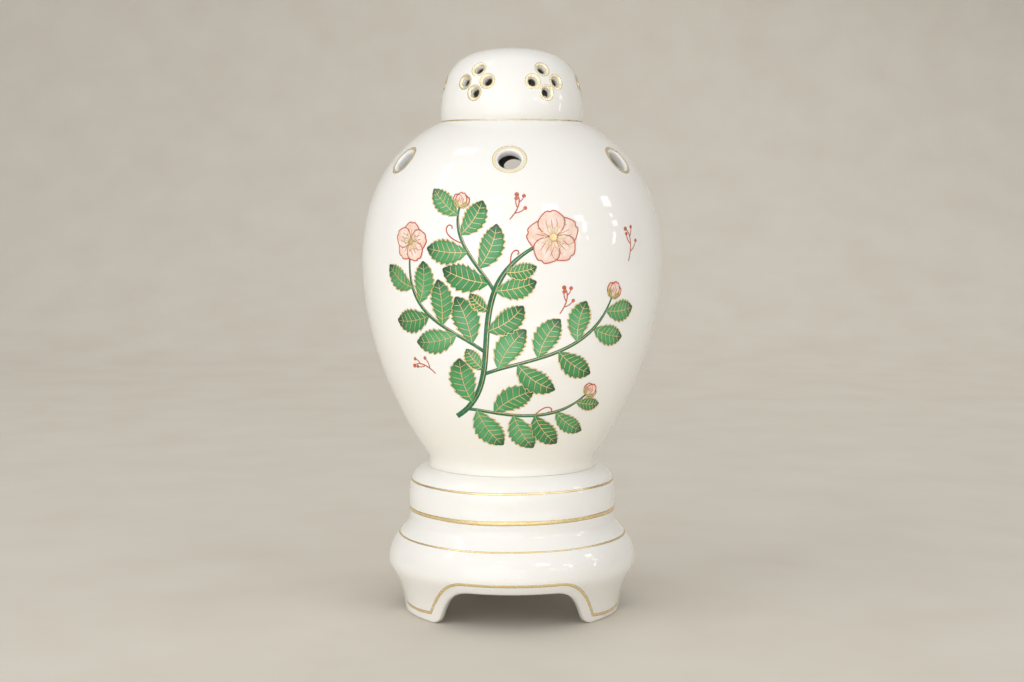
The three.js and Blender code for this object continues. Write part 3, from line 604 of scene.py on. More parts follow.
def vaseOutline():
    v = vase
    corners = [(v["footRadius"], v["foot"] + v["edge"]),
               (v["waistRadius"], v["solidFoot"] + v["flareHeight"]),
               (v["bellyRadius"], v["belly"]), (v["ledgeRadius"], v["ledge"])]
    return outlineOf(*curved(corners, v["pulls"]))


def makeVase():
    v = vase
    outline = vaseShape
    ventLength = lengthAt(outline, v["solidFoot"] + v["ventHeight"])
    half = v["windowHalf"] / sampleOutline(outline, ventLength)[0]
    perSector = v["windowSteps"] + v["betweenSteps"]
    angles = windowAngles(v["turn"], v["ventCount"], half, v["windowSteps"], v["betweenSteps"])
    window = np.linspace(ventLength - v["windowHalf"], ventLength + v["windowHalf"], v["windowSteps"] + 1)
    innerStart = lengthAt(outline, v["solidFoot"] + v["flareHeight"])
    shoulderRun = outline["length"][outline["points"][:, 1] > v["belly"]]
    shoulderRadius = sampleOutline(outline, shoulderRun, v["wall"])[0]
    innerEnd = np.interp(-(v["neckInner"] + v["neckFillet"]), -shoulderRadius, shoulderRun)
    runs = ((0, outline["length"][-1], *v["outerRows"]), (innerStart, innerEnd, *v["innerRows"]))
    parts = windowedWalls(outline, v["wall"], angles, window, runs, v["windowSteps"], v["betweenSteps"])
    shoulder = np.array(sampleOutline(outline, innerEnd, v["wall"])[:2])
    hem = np.array(sampleOutline(outline, innerStart, v["wall"])[:2])
    neck = roundedPath([
        (*outline["points"][-1], 0.0), (v["ledgeRadius"] - 0.6, v["ledge"], 0.4),
        (v["neckOuter"], v["ledge"], 0.8), (v["neckOuter"], v["neckTop"], 1.1),
        (v["neckInner"], v["neckTop"], 1.1), (v["neckInner"], v["ledge"] - v["wall"], 1.2),
        (*shoulder, 0.0)])
    spigotEnd = v["solidFoot"] - v["spigotDepth"]
    spigot = roundedPath([
        (*hem, 0.0), (v["spigotInner"], v["foot"] + 2.3, 2.0), (v["spigotInner"], spigotEnd, 0.8),
        (v["spigotOuter"], spigotEnd, 0.8), (v["spigotOuter"], v["foot"], 0.5),
        (v["footRadius"], v["foot"], v["edge"]), (*outline["points"][0], 0.0)])
    parts += [gridPart(revolved(path, angles), wrapColumns=True) for path in (neck, spigot)]
    rings = []
    for k in range(v["ventCount"]):
        columns = angles[k * perSector:k * perSector + v["windowSteps"] + 1]
        centre = (v["turn"] + k * fullTurn / v["ventCount"], ventLength)
        border = squareBorder(columns, window)
        parts.append(drilledPart(outline, centre, border, v["wall"], vent, v["windowRings"]))
        rings.append(mouthRing(outline, centre, vent))
    addPiece("vase_body_glazed", parts, bodyGlaze, "vase", ["vase_body"])
    addPiece("vent_gilding", rings, ringGold, "vase", attributes=["edge"])


vaseShape = vaseOutline()
makeVase()
print("stage: body made")


# Lid with six clusters of four holes

lid = {
    "solidFoot": nodeSpan("lid")[0], "foot": vase["ledge"] + closeGap, "top": nodeSpan("lid")[1],
    "radius": 31.5, "taper": 0.3, "edge": 0.2, "wall": 3.0, "bend": 2.9,
    "pulls": (((0, 24.4), (20.4, 0), 500),),  # of the dome
    "turn": math.radians(-1.5), "clusterCount": 6, "clusterHeight": 16.7, "clusterRise": 5.2,
    "clusterSpread": math.radians(11), "windowHalf": 12.7, "cellSteps": 8, "betweenSteps": 4,
    "rimLine": 0.5, "rimLineRise": 0.04, "rimLineGap": 0.15, "handOffset": 0.3, "seed": 5,
    "outerRows": (1.2, 1.3), "innerRows": (1.5, 2.0), "apronRings": 4, "cellRings": 2,
}
pierce = {"radius": 1.75, "round": 1.5, "innerRound": 0.35, "lipSteps": 4, "start": -0.5 * math.pi,
          "giltBeyond": 0.3, "giltShare": 0.65, "giltColumns": 32}


def lidOutline():
    bend = (lid["radius"], lid["solidFoot"] + lid["bend"])
    edge = np.linspace((lid["radius"] - lid["taper"], lid["foot"] + lid["edge"]), bend, 20)
    return outlineOf(edge, *curved([bend, (0, lid["top"])], lid["pulls"]))


def makeLid():
    outline = lidShape
    steps = 2 * lid["cellSteps"]
    level = lid["solidFoot"] + lid["clusterHeight"]
    middle = lengthAt(outline, level)
    scale = sampleOutline(outline, middle)[0]
    upper = lengthAt(outline, level + lid["clusterRise"]) - middle
    lower = lengthAt(outline, level - lid["clusterRise"]) - middle
    aside = lid["clusterSpread"] * scale
    turn = lid["turn"] + math.pi / lid["clusterCount"]
    perSector = steps + lid["betweenSteps"]
    angles = windowAngles(turn, lid["clusterCount"], lid["windowHalf"] / scale, steps, lid["betweenSteps"])
    window = np.linspace(middle - lid["windowHalf"], middle + lid["windowHalf"], steps + 1)
    end = outline["length"][-1]
    innerStart = lengthAt(outline, lid["solidFoot"] + lid["bend"])
    runs = ((0, end, *lid["outerRows"]), (innerStart, end, *lid["innerRows"]))
    parts = windowedWalls(outline, lid["wall"], angles, window, runs, steps, lid["betweenSteps"])
    hem = np.array(sampleOutline(outline, innerStart, lid["wall"])[:2])
    rimRadius = lid["radius"] - lid["taper"]
    rim = roundedPath([(*hem, 0.0), (rimRadius - lid["wall"], lid["foot"], 0.6),
                       (rimRadius, lid["foot"], lid["edge"]), (*outline["points"][0], 0.0)])
    parts.append(gridPart(revolved(rim, angles), wrapColumns=True))
    rings = []
    hand = np.random.default_rng(lid["seed"])
    for k in range(lid["clusterCount"]):
        heart = turn + k * fullTurn / lid["clusterCount"]
        columns = angles[k * perSector:k * perSector + steps + 1]
        border = squareBorder(columns, window)
        holes = [(0.0, lower), (aside, 0.0), (0.0, upper), (-aside, 0.0)]
        offsets = hand.uniform(-lid["handOffset"], lid["handOffset"], (4, 2))
        cluster, centres = clusterParts(outline, heart, middle, scale, border, holes, offsets)
        parts += cluster
        rings += [mouthRing(outline, centre, pierce) for centre in centres]
    addPiece("lid_glazed", parts, lidGlaze, "lid", ["lid"])
    addPiece("pierced_gilding", rings, ringGold, "lid", attributes=["edge"])
    once = evenTurn(240)
    level = lengthAt(outline, lid["foot"] + lid["rimLine"] / 2 + lid["rimLineGap"]) + 0.05 * np.sin(5 * once)
    stripe = wheelLine(outline, once, level, lid["rimLine"], lid["rimLineRise"], lid["radius"])
    addPiece("lid_rim_gilding", [stripe], lineGold, "lid", attributes=["edge"])


def clusterParts(outline, heart, middle, scale, border, holes, offsets):
    # The window narrows to a diamond, and the diamond holds four cells with one drilled hole each
    m = lid["cellSteps"]
    down, right, up, left = holes
    centre = (0.0, (up[1] + down[1]) / 2)
    tips = [(0.0, 2 * down[1] - centre[1]), (2 * right[0], centre[1]), (0.0, 2 * up[1] - centre[1]),
            (2 * left[0], centre[1])]
    downTip, rightTip, upTip, leftTip = (np.array(tip) for tip in tips)
    lowLeft, lowRight = (leftTip + downTip) / 2, (downTip + rightTip) / 2
    upRight, upLeft = (rightTip + upTip) / 2, (upTip + leftTip) / 2

    def along(corners):
        # m even steps from each corner to the next, back to the first
        corners = np.array(corners)
        share = np.arange(m)[None, :, None] / m
        return (corners[:, None] + (np.roll(corners, -1, axis=0) - corners)[:, None] * share).reshape(-1, 2)

    diamond = along([lowLeft, downTip, lowRight, rightTip, upRight, upTip, upLeft, leftTip])
    share = np.linspace(0, 1, lid["apronRings"] + 1)[:, None]
    diamondAngle, diamondLength = heart + diamond[:, 0] / scale, middle + diamond[:, 1]
    parts = []
    for depth in (0.0, lid["wall"]):
        apron = around(outline, border[0] + (diamondAngle - border[0]) * share,
                       border[1] + (diamondLength - border[1]) * share, depth)
        parts.append(gridPart(apron, wrapColumns=True))
    cells = [(down, [downTip, lowRight, centre, lowLeft]), (right, [lowRight, rightTip, upRight, centre]),
             (up, [centre, upRight, upTip, upLeft]), (left, [lowLeft, centre, upLeft, leftTip])]
    centres = []
    for (spot, corners), offset in zip(cells, offsets):
        cell = along(corners)
        place = (heart + (spot[0] + offset[0]) / scale, middle + spot[1] + offset[1])
        rim = (heart + cell[:, 0] / scale, middle + cell[:, 1])
        parts.append(drilledPart(outline, place, rim, lid["wall"], pierce, lid["cellRings"]))
        centres.append(place)
    return parts, centres


lidShape = lidOutline()
makeLid()
print("stage: lid made")


# Stand on three feet, with arches cut between them

stand = {
    "height": nodeSpan("stand")[1], "wall": 4.0, "rimOuter": 37.5, "rimEdge": (0.3, -0.03), "mouth": 34.2,
    "bandRadius": 46.0, "bandTop": 55.5, "bandBottom": 41.8, "shoulderRadius": 51.0, "shoulderHeight": 34.5,
    "skirtRadius": 55.6, "skirtHeight": 22.3, "soleRadius": 48.7, "soleRound": 1.2, "floor": 48.0,
    "pulls": (((0.3, 12.3), (0, -4.1), 300), ((0, 5.2), (2.2, -2.6), 120), ((-1.4, 1.7), (0, -2.8), 80),
              ((0.5333, 4.6), (0.5333, -4.6), 60), ((0, 5.5), (3.9, -0.37), 120)),
    # of the leg, the swelling skirt, the cove, the band and the cushion
    "floorThickness": 4.0, "tubeHole": 5.3, "archHalf": 29.8, "archHeight": 16.6, "archLean": 4.3,
    "archCorner": 8.5, "archDraft": 2.0, "footCorner": 4.5, "edgeRound": 1.2, "joinHeight": 24.5,
    "halfSteps": 40, "fineSteps": 20, "skirtRows": 17, "rowBias": 1.15, "roundSteps": 4,
    "outerRows": 1.3, "innerRows": 2.0,
    "wheelLines": ((58.7, 0.9), (46.1, 1.8), (34.6, 0.8)),  # height and width of each line
    "archLine": 21.0, "archLineWidth": 1.25, "archTurn": (14.5, 7.3, 3.6, 16.0), "footLine": 3.9,
    "footLineStart": 35.3, "footSlant": 0.75, "meanRadius": 50.0,
}


def standOutline():
    # Up the outside from the sole to the rim
    s = stand
    corners = [(s["soleRadius"], s["soleRound"]), (s["skirtRadius"], s["skirtHeight"]),
               (s["shoulderRadius"], s["shoulderHeight"]), (s["bandRadius"], s["bandBottom"]),
               (s["bandRadius"], s["bandTop"]),
               (s["rimOuter"] + s["rimEdge"][0], s["height"] + s["rimEdge"][1])]
    sole = np.linspace((s["soleRadius"], 0), corners[0], 12)
    return outlineOf(sole, *curved(corners, s["pulls"]))


def edgePath(outline, count, draft):
    # Half an arch and half a foot, from the middle of the arch to the middle of the foot, as angle
    # and length on that face; draft makes the arch wider, as on the outer face of a moulded stand
    s = stand
    half = s["archHalf"] + draft
    side = half - s["archLean"]
    flat = np.linspace((0, s["archHeight"]), (side - s["archCorner"], s["archHeight"]), 60)
    bend = bezier((side - s["archCorner"], s["archHeight"]), (side, s["archHeight"]),
                  (half - s["archLean"] / 2, s["archHeight"] / 2), (half, 0), 200)
    arch = np.vstack([flat[:-1], bend])
    run = runAlong(arch)
    cornerAngle = math.asin(half / s["soleRadius"])
    soleRun = (math.pi / 3 - cornerAngle) * s["soleRadius"]
    total = run[-1] + soleRun

    def at(distance):
        x, z = (np.interp(distance, run, arch[:, i]) for i in (0, 1))
        length = lengthAt(outline, z)
        radius = sampleOutline(outline, length)[0]
        footRadius = sampleOutline(outline, 0.0)[0]
        start = np.arcsin(half / footRadius)
        share = np.clip((distance - run[-1]) / soleRun, 0, 1)
        angle = np.where(distance < run[-1], np.arcsin(np.minimum(x / radius, 1)),
                         start + (math.pi / 3 - start) * share)
        return angle, np.where(distance < run[-1], length, 0.0)

    distance = np.linspace(0, total, count)
    angle, length = at(distance)
    reach = s["footCorner"]
    ends = [at(np.array([run[-1] + offset])) for offset in (-reach, 0.0, reach)]
    q = np.clip((distance - run[-1] + reach) / (2 * reach), 0, 1)
    weights = ((1 - q) ** 2, 2 * q * (1 - q), q * q)
    near = np.abs(distance - run[-1]) < reach
    angle = np.where(near, sum(w * e[0][0] for w, e in zip(weights, ends)), angle)
    length = np.where(near, sum(w * e[1][0] for w, e in zip(weights, ends)), length)
    return angle, length


def offsetPath(angle, length, distance, radius):
    # Moves a path to its left by a distance over the surface
    wayS, wayT = np.gradient(angle * radius), np.gradient(length)
    size = np.hypot(wayS, wayT)
    wayS[[0, -1]], wayT[[0, -1]], size[[0, -1]] = 1.0, 0.0, 1.0
    return angle - distance * wayT / size / radius, length + distance * wayS / size


def ringOfThree(angle, *values):
    # Half an arch mirrored about its middle, and the whole repeated for the three of them
    full = np.concatenate([-angle[:0:-1], angle])[:-1]
    angles = np.concatenate([full + k * fullTurn / 3 for k in range(3)])
    return (angles, *(np.tile(np.concatenate([value[:0:-1], value])[:-1], 3) for value in values))


def makeStand():
    s = stand
    outer = standShape
    inward = np.stack(sampleOutline(outer, outer["length"], s["wall"])[:2], axis=1)
    underside = s["floor"] - s["floorThickness"]
    inner = outlineOf(inward[(outer["length"] <= lengthAt(outer, underside))
                             & (inward[:, 1] >= 0) & (inward[:, 1] < underside - 3)])
    fine = s["fineSteps"] * s["halfSteps"] + 1
    pick = slice(None, None, s["fineSteps"])
    angles = ringOfThree(np.linspace(0, math.pi / 3, s["halfSteps"] + 1))[0]
    share = np.linspace(0, 1, s["skirtRows"])[:, None] ** s["rowBias"]
    edges, faces = [], []
    for shape, draft in ((outer, s["archDraft"]), (inner, 0.0)):
        angle, length = edgePath(shape, fine, draft)
        liftAngle, liftLength = offsetPath(angle, length, s["edgeRound"], s["meanRadius"])
        lift = ringOfThree(liftAngle[pick], liftLength[pick])
        top = lengthAt(shape, s["joinHeight"])
        edges.append(around(shape, *ringOfThree(angle[pick], length[pick])))
        faces.append(around(shape, lift[0] + (angles - lift[0]) * share, lift[1] + (top - lift[1]) * share))
    across = s["edgeRound"] * unit(edges[1] - edges[0])
    outerRound = quarterRound(faces[0][0], edges[0], edges[0] + across, s["roundSteps"])
    innerRound = quarterRound(faces[1][0], edges[1], edges[1] - across, s["roundSteps"])
    skirt = np.concatenate([faces[0][::-1], outerRound[1:], innerRound[::-1][:-1], faces[1]])
    join, innerJoin = (lengthAt(shape, s["joinHeight"]) for shape in (outer, inner))
    rising = sampleOutline(outer, np.r_[join, spaced(join, outer["length"][-1], s["outerRows"])[1:]])
    upper = np.stack(rising[:2], axis=1)
    falling = sampleOutline(inner, spaced(innerJoin, inner["length"][-1], s["innerRows"])[::-1])
    lower = np.stack(falling[:2], axis=1)
    well = s["bandRadius"] - s["wall"]
    middle = roundedPath([
        (*upper[-1], 0.0), (s["rimOuter"] - 1, s["height"], 0.4), (s["mouth"], s["height"], 0.9),
        (s["mouth"], s["bandTop"] + 4, 1.5), (well, s["bandTop"] - 1, 2.0), (well, s["floor"], 3.0),
        (s["tubeHole"], s["floor"], 0.5), (s["tubeHole"], underside, 0.5), (well, underside, 3.0),
        (*lower[0], 0.0)])
    hoop = np.vstack([upper, middle, lower])
    parts = [gridPart(skirt, wrapColumns=True), gridPart(revolved(hoop, angles), wrapColumns=True)]
    addPiece("stand_glazed", parts, standGlaze, "stand", ["stand"])


def makeStandGilding():
    # Three lines turned on the wheel, and one led by hand along the arches and feet
    s = stand
    once = evenTurn(240)
    parts = []
    for height, width in s["wheelLines"]:
        length = lengthAt(standShape, height) + 0.12 * np.sin(3 * once) + 0.06 * np.sin(7 * once + 1)
        wide = width * (1 + 0.08 * np.sin(4 * once + height))
        parts.append(wheelLine(standShape, once, length, wide, coat["rise"], s["meanRadius"]))
    end = s["footLineStart"]
    flat, pull, steep, steepHeight = s["archTurn"]
    straight = np.linspace((0, s["archLine"]), (end - flat, s["archLine"]), 30)[:-1]
    bend = bezier((end - flat, s["archLine"]), (end - pull, s["archLine"]), (end - steep, steepHeight),
                  (end, s["footLine"]), 60)
    arch = np.vstack([straight, bend])
    length = lengthAt(standShape, arch[:, 1])
    angle = np.arcsin(arch[:, 0] / sampleOutline(standShape, length)[0])
    sole = np.linspace(0, 1, 26)[1:]
    angle = np.r_[angle, angle[-1] + (math.pi / 3 - angle[-1]) * sole]
    low = np.r_[np.clip((12 - arch[:, 1]) / 8, 0, 1), np.ones(25)]
    length = np.r_[length, length[-1] - 0.6 * np.sin(math.pi / 2 * sole)]
    angle, length, low = ringOfThree(angle, length, low)
    length = length - s["footSlant"] * low * np.sin(angle)  # the hand-led line is higher on the left
    parts.append(wheelLine(standShape, angle, length, s["archLineWidth"], coat["rise"], s["meanRadius"]))
    addPiece("stand_gilding", parts, lineGold, "stand", attributes=["edge"])


standShape = standOutline()
makeStand()
makeStandGilding()
print("stage: stand made")


# Scent dish with three lugs that rest on the neck

dish = {
    "foot": nodeSpan("scent_dish")[0], "top": nodeSpan("scent_dish")[1], "lugThickness": 2.0,
    "lugRadius": 26.3, "bowlRadius": 18.5, "lipRadius": 16.3, "lugCount": 3, "lugTurn": math.radians(30),
    "lugHalf": math.radians(23.3), "lugSide": math.radians(5), "columns": 360,
    # radius, height above the foot and round of the corners
    "outside": ((0.0, 0, 0.0), (11.0, 0, 1.2), (14.0, 1.5, 1.5), (17.5, 8.1, 3.0)),
    "inside": ((15.3, 8.6, 3.0), (12.0, 3.2, 1.5), (10.0, 2.2, 1.2), (0.0, 2.2, 0.0)),
}


def makeDish():
    # Two outlines with the same corners, one plain and one through a lug, blended round the axis
    d = dish
    top, under, bowl = d["top"], d["top"] - d["lugThickness"], d["bowlRadius"]
    lip = (d["lipRadius"], top, 0.9)
    outside, inside = ([(radius, d["foot"] + height, edge) for radius, height, edge in d[side]]
                       for side in ("outside", "inside"))
    plainRim = [(bowl - 0.1, under, 0.8), (bowl, top - 0.7, 0.3), (bowl, top, 0.6), lip]
    lugRim = [(bowl, under, 0.8), (d["lugRadius"], under, 0.8), (d["lugRadius"], top, 0.8), lip]
    plain, lugged = (roundedPath(outside + rim + inside, closed=True) for rim in (plainRim, lugRim))
    angles = evenTurn(d["columns"])
    sector = fullTurn / d["lugCount"]
    away = np.abs((angles - d["lugTurn"] + sector / 2) % sector - sector / 2)
    share = np.clip((d["lugHalf"] - away) / d["lugSide"] + 0.5, 0, 1)
    share = (share * share * (3 - 2 * share))[None, :]
    blend = plain[:, None] + (lugged - plain)[:, None] * share[..., None]
    parts = [gridPart(polar(blend[..., 0], angles, blend[..., 1]), wrapRows=True, wrapColumns=True)]
    addPiece("scent_dish_glazed", parts, dishGlaze, "dish", ["scent_dish"])


makeDish()
print("stage: dish made")


# Painted decoration: a flowering spray over the front of the body
# It is drawn in a plane, x to the right and y up from the belly's widest level, in mm on the glaze

spray = {
    "stem": ((-24, -66), (2, -48), (-26, -8), (12, 10)), "stemWidth": 2.4, "twigWidth": 1.5,
    "twigs": (  # share of the way up the stem, two pulls, the end, its leaves and what it bears
        (0.42, (-26, -24), (-49, -22), (-46, 6), 7, ("blossom", 8.5)),
        (0.30, (4, -38), (34, -38), (45, -13), 7, ("bud", 6.5)),
        (0.07, (-8, -62), (14, -72), (33, -56), 6, ("bud", 6.0)),
        (0.72, (-12, 0), (-26, 10), (-22, 25), 5, ("bud", 6.0)),
    ),
    "crown": 11.5, "stemLeaves": 9, "leafLength": 20.0, "leafHalf": 5.2, "leafSpread": math.radians(50),
    "leafHand": ((0.75, 0.3, 0.92, 0.0), (1.2, 0.75, 1.08, 0.75)),  # least and most lean, bend, girth, tone
    "leafSizes": (1.0, 0.78, 0.6), "seed": 3, "teeth": 8, "toothDepth": 0.24, "sweep": 0.5, "veins": 6,
    "layerStep": 0.05, "petalStep": 0.12, "enamel": (0.02, 0.04), "line": (0.065, 0.03), "goldWidth": 0.38,
    "petalLayers": (1, 2, 1, 2, 1.5), "petalLine": 0.42, "petalVein": 0.24, "stamens": 15, "stamenLine": 0.26,
    "leafRun": (0.12, 0.8), "leafTaper": (1.1, 0.3),  # first and whole share of a branch; size at its foot
    "budPetals": ((-0.45, 1, 1.0), (0.45, 1.5, 1.0), (0.0, 2, 1.1)),  # lean, layer and size of each
    "redSprigs": ((55, 2, 1.2, 15), (-1, 20, 0.8, 12), (-34, -46, 2.4, 13), (20, -19, 0.9, 12)),
    "sprigTwigs": ((0.3, -1), (0.5, 1), (0.7, -1)),  # share of the way up a red sprig, and side
    "tendrils": ((3, 0.63, 15), (2, 0.60, 12), (4, 0.86, 10)),  # branch, share of the way along it, length
}


def artPlace(spots):
    # A place in the plane as angle and length on the body; x is measured round it at that level
    length = lengthAt(vaseShape, vase["belly"]) + spots[..., 1]
    return spots[..., 0] / sampleOutline(vaseShape, length)[0], length


def painted(spots, rise, *values):
    return layerPart(vaseShape, *artPlace(spots), np.broadcast_to(rise, spots.shape[:2]), values)


def brushed(path, width, layer=0.0, across=3, ends=(0.25, 0.25)):
    # A stroke along a path, rounded over its width and narrowing to shares of it at both ends
    way = np.gradient(path, axis=0)
    side = np.stack([-way[:, 1], way[:, 0]], axis=1) / np.maximum(np.hypot(*way.T), 1e-9)[:, None]
    u = np.linspace(0, 1, len(path))
    swell = np.interp(u, [0, 0.2, 0.75, 1], [ends[0], 1, 1, ends[1]])
    place = np.linspace(-1, 1, across)[:, None]
    spots = path + side * (place * width * swell / 2)[..., None]
    flat, dome = spray["line"]
    return painted(spots, layer + flat + dome * domed(place), np.abs(place) ** 3)


def headings(path):
    way = np.gradient(path, axis=0)
    return np.unwrap(np.arctan2(way[:, 1], way[:, 0]))


def leafSpots(leaf, u, v):
    # u runs along a midrib of even curvature, v from -1 to 1 across it; the sides sweep forward in saw teeth
    heading = leaf["heading"] + leaf["bend"] * (u - 0.5)
    start = leaf["heading"] - leaf["bend"] / 2
    size = leaf["length"] / leaf["bend"]
    rib = np.stack([size * (np.sin(heading) - math.sin(start)),
                    size * (math.cos(start) - np.cos(heading))], axis=-1)
    width = leaf["half"] * np.sin(math.pi * u ** 0.8) ** 0.85
    tooth = 1 + spray["toothDepth"] * ((u * spray["teeth"]) % 1 - 0.5) * v ** 2
    aside, forward = v * width * tooth, spray["sweep"] * np.abs(v) * width
    x = rib[..., 0] - np.sin(heading) * aside + np.cos(heading) * forward
    y = rib[..., 1] + np.cos(heading) * aside + np.sin(heading) * forward
    return np.stack([x, y], axis=-1) + leaf["base"]


def paintLeaf(leaf, enamel, gold):
    # The enamel, then gold along the saw edge, the midrib and the side veins
    u, v = np.meshgrid(np.linspace(0, 1, 49), np.linspace(-1, 1, 9))
    flat, dome = spray["enamel"]
    enamel.append(painted(leafSpots(leaf, u, v), leaf["layer"] + flat + dome * (1 - v ** 4),
                          u, np.abs(v), leaf["tone"]))
    run = np.linspace(0.02, 0.99, 49)
    width = spray["goldWidth"]
    for side in (-1.0, 1.0):
        gold.append(brushed(leafSpots(leaf, run, side + 0 * run), width, leaf["layer"]))
        for share in np.linspace(0.14, 0.8, spray["veins"]):
            v = side * np.linspace(0, 0.86, 7)
            gold.append(brushed(leafSpots(leaf, share + 0 * v, v), width * 0.7, leaf["layer"], 3, (1, 0.3)))
    rib = np.linspace(0, 0.95, 20)
    gold.append(brushed(leafSpots(leaf, rib, 0 * rib), width, leaf["layer"]))


def petalSpots(centre, radius, turn, s, w, half=0.5):
    # A petal from the centre outwards, s along it and w across it, with a rounded, notched tip
    out = radius * (s - 0.2 * s ** 2 * w ** 2 - 0.07 * s ** 4 * np.exp(-(w / 0.22) ** 2))
    side = w * radius * half * np.sin(0.79 * math.pi * s ** 0.9) ** 0.7
    x = out * math.cos(turn) - side * math.sin(turn)
    y = out * math.sin(turn) + side * math.cos(turn)
    return np.stack([x, y], axis=-1) + np.array(centre, float)


def paintPetal(centre, radius, turn, layer, wash, red, half=0.5):
    s, w = np.meshgrid(np.linspace(0.05, 1, 15), np.linspace(-1, 1, 11))
    spots = petalSpots(centre, radius, turn, s, w, half)
    wash.append(painted(spots, layer + spray["enamel"][0], np.clip(s * 1.6 - 1.1, 0, 1)))
    up, over = np.linspace(0.06, 1, 14), np.linspace(-1, 1, 19)
    outline = [petalSpots(centre, radius, turn, up, -1 + 0 * up, half),
               petalSpots(centre, radius, turn, 1 + 0 * over, over, half)[1:],
               petalSpots(centre, radius, turn, up[::-1], 1 + 0 * up, half)[1:]]
    red.append(brushed(np.vstack(outline), spray["petalLine"], layer, ends=(0.6, 0.6)))
    for w in (-0.4, 0.0, 0.4):
        s = np.linspace(0.3, 0.68, 7)
        vein = petalSpots(centre, radius, turn, s, w + 0 * s, half)
        red.append(brushed(vein, spray["petalVein"], layer))


def dot(centre, radius, layer):
    # A round touch of the brush
    angle, s = np.meshgrid(np.linspace(0, fullTurn, 13), np.linspace(0.02, 1, 5))
    spots = np.stack([s * radius * np.cos(angle), s * radius * np.sin(angle)], axis=-1) + centre
    flat, dome = spray["line"]
    return painted(spots, layer + flat + 2 * dome * domed(s), s ** 4)


def paintBlossom(centre, radius, turn, wash, red, gold):
    # Petals, then a ring of stamens, long and short in turn, each with a gold tip
    step = spray["petalStep"]
    petals, stamens = spray["petalLayers"], spray["stamens"]
    for k, layer in enumerate(petals):
        paintPetal(centre, radius, turn + k * fullTurn / len(petals), step * layer, wash, red)
    for k in range(stamens):
        way = turn + (k + 0.5) * fullTurn / stamens
        reach = np.linspace(0.12, 0.42 if k % 2 else 0.34, 6)[:, None] * radius
        path = centre + reach * [math.cos(way), math.sin(way)]
        gold.append(brushed(path, spray["stamenLine"], 2 * step))
        gold.append(dot(path[-1], 0.42, 2 * step))
    gold.append(dot(centre, 0.16 * radius, 2 * step))


def paintBud(foot, size, heading, wash, red, enamel, gold):
    # Two petals half hidden by a third, held by two sepals
    step = spray["petalStep"]
    for offset, layer, share in spray["budPetals"]:
        paintPetal(foot, size * share, heading + offset, step * layer, wash, red, 0.36)
    for side in (-1, 1):
        sepal = {"base": foot, "layer": 2.4 * step, "tone": 0.8, "heading": heading + side * 0.7,
                 "bend": -side * 0.9, "length": size * 0.7, "half": size * 0.15}
        paintLeaf(sepal, enamel, gold)


def curl(start, heading, length, turnOver, turnIn, count=44):
    # A tendril: its heading turns evenly at first and ever faster towards its tip
    s = np.linspace(0, 1, count)
    angle = heading + turnOver * s + turnIn * s ** 4
    steps = np.stack([np.cos(angle), np.sin(angle)], axis=1) * length / (count - 1)
    return np.array(start, float) + np.vstack([[[0, 0]], np.cumsum(steps[:-1], axis=0)])


def roomFor(leaf, filled):
    # How far the leaf's two halves keep from what is painted already, given as middles and radii
    way = np.array([math.cos(leaf["heading"]), math.sin(leaf["heading"])])
    halves = leaf["base"] + way * leaf["length"] * np.array([[0.38], [0.78]])
    apart = np.linalg.norm(halves[:, None] - filled[None, :, :2], axis=2) - filled[None, :, 2]
    near = np.linalg.norm(filled[:, :2] - leaf["base"], axis=1) < leaf["length"] * 0.45
    return (apart[:, ~near].min() - 0.7 * leaf["half"]) if (~near).any() else 1.0


def leavesAlong(path, count, hand, order, filled):
    # Leaves in turn on both sides of a path, smaller towards its end, each where it finds room
    found = []
    heading = headings(path)
    for k in range(count):
        u = spray["leafRun"][0] + spray["leafRun"][1] * k / (count - 1)
        at = u * (len(path) - 1)
        base = np.array([np.interp(at, np.arange(len(path)), column) for column in path.T])
        lean = np.interp(at, np.arange(len(path)), heading)
        spreadOut, bend, plump, tone = hand.uniform(*spray["leafHand"])
        for size, side in ((size, side) for size in spray["leafSizes"] for side in (1, -1)):
            side = side if (k + order) % 2 else -side
            size = size * (spray["leafTaper"][0] - spray["leafTaper"][1] * u)
            leaf = {"base": base, "layer": spray["layerStep"] * ((k + order) % 3), "tone": tone,
                    "heading": lean + side * spray["leafSpread"] * spreadOut, "bend": -side * bend,
                    "length": spray["leafLength"] * size, "half": spray["leafHalf"] * size * plump}
            if roomFor(leaf, filled) > 0:
                found.append(leaf)
                spots = leafSpots(leaf, np.linspace(0.25, 0.9, 4), np.zeros(4))
                own = np.column_stack([spots, np.full(4, 0.7 * leaf["half"])])
                filled = np.vstack([filled, own])
                break
    return found, filled


def berrySprig(x, y, heading, size, red):
    # A small iron-red sprig: a bending stalk, with a berry on each short side stalk and at its tip
    stalk = curl((x, y), heading, size, 0.7, 0.9)
    red.append(brushed(stalk, 0.5, ends=(0.9, 0.7)))
    red.append(dot(stalk[-1], 0.95, 0.0))
    way = headings(stalk)
    for share, side in spray["sprigTwigs"]:
        spot = int(share * (len(stalk) - 1))
        twig = curl(stalk[spot], way[spot] + side * 0.9, size * (0.5 - 0.3 * share), -side * 0.8, 0.0, 14)
        red.append(brushed(twig, 0.42, ends=(0.9, 0.7)))
        red.append(dot(twig[-1], 0.8, 0.0))


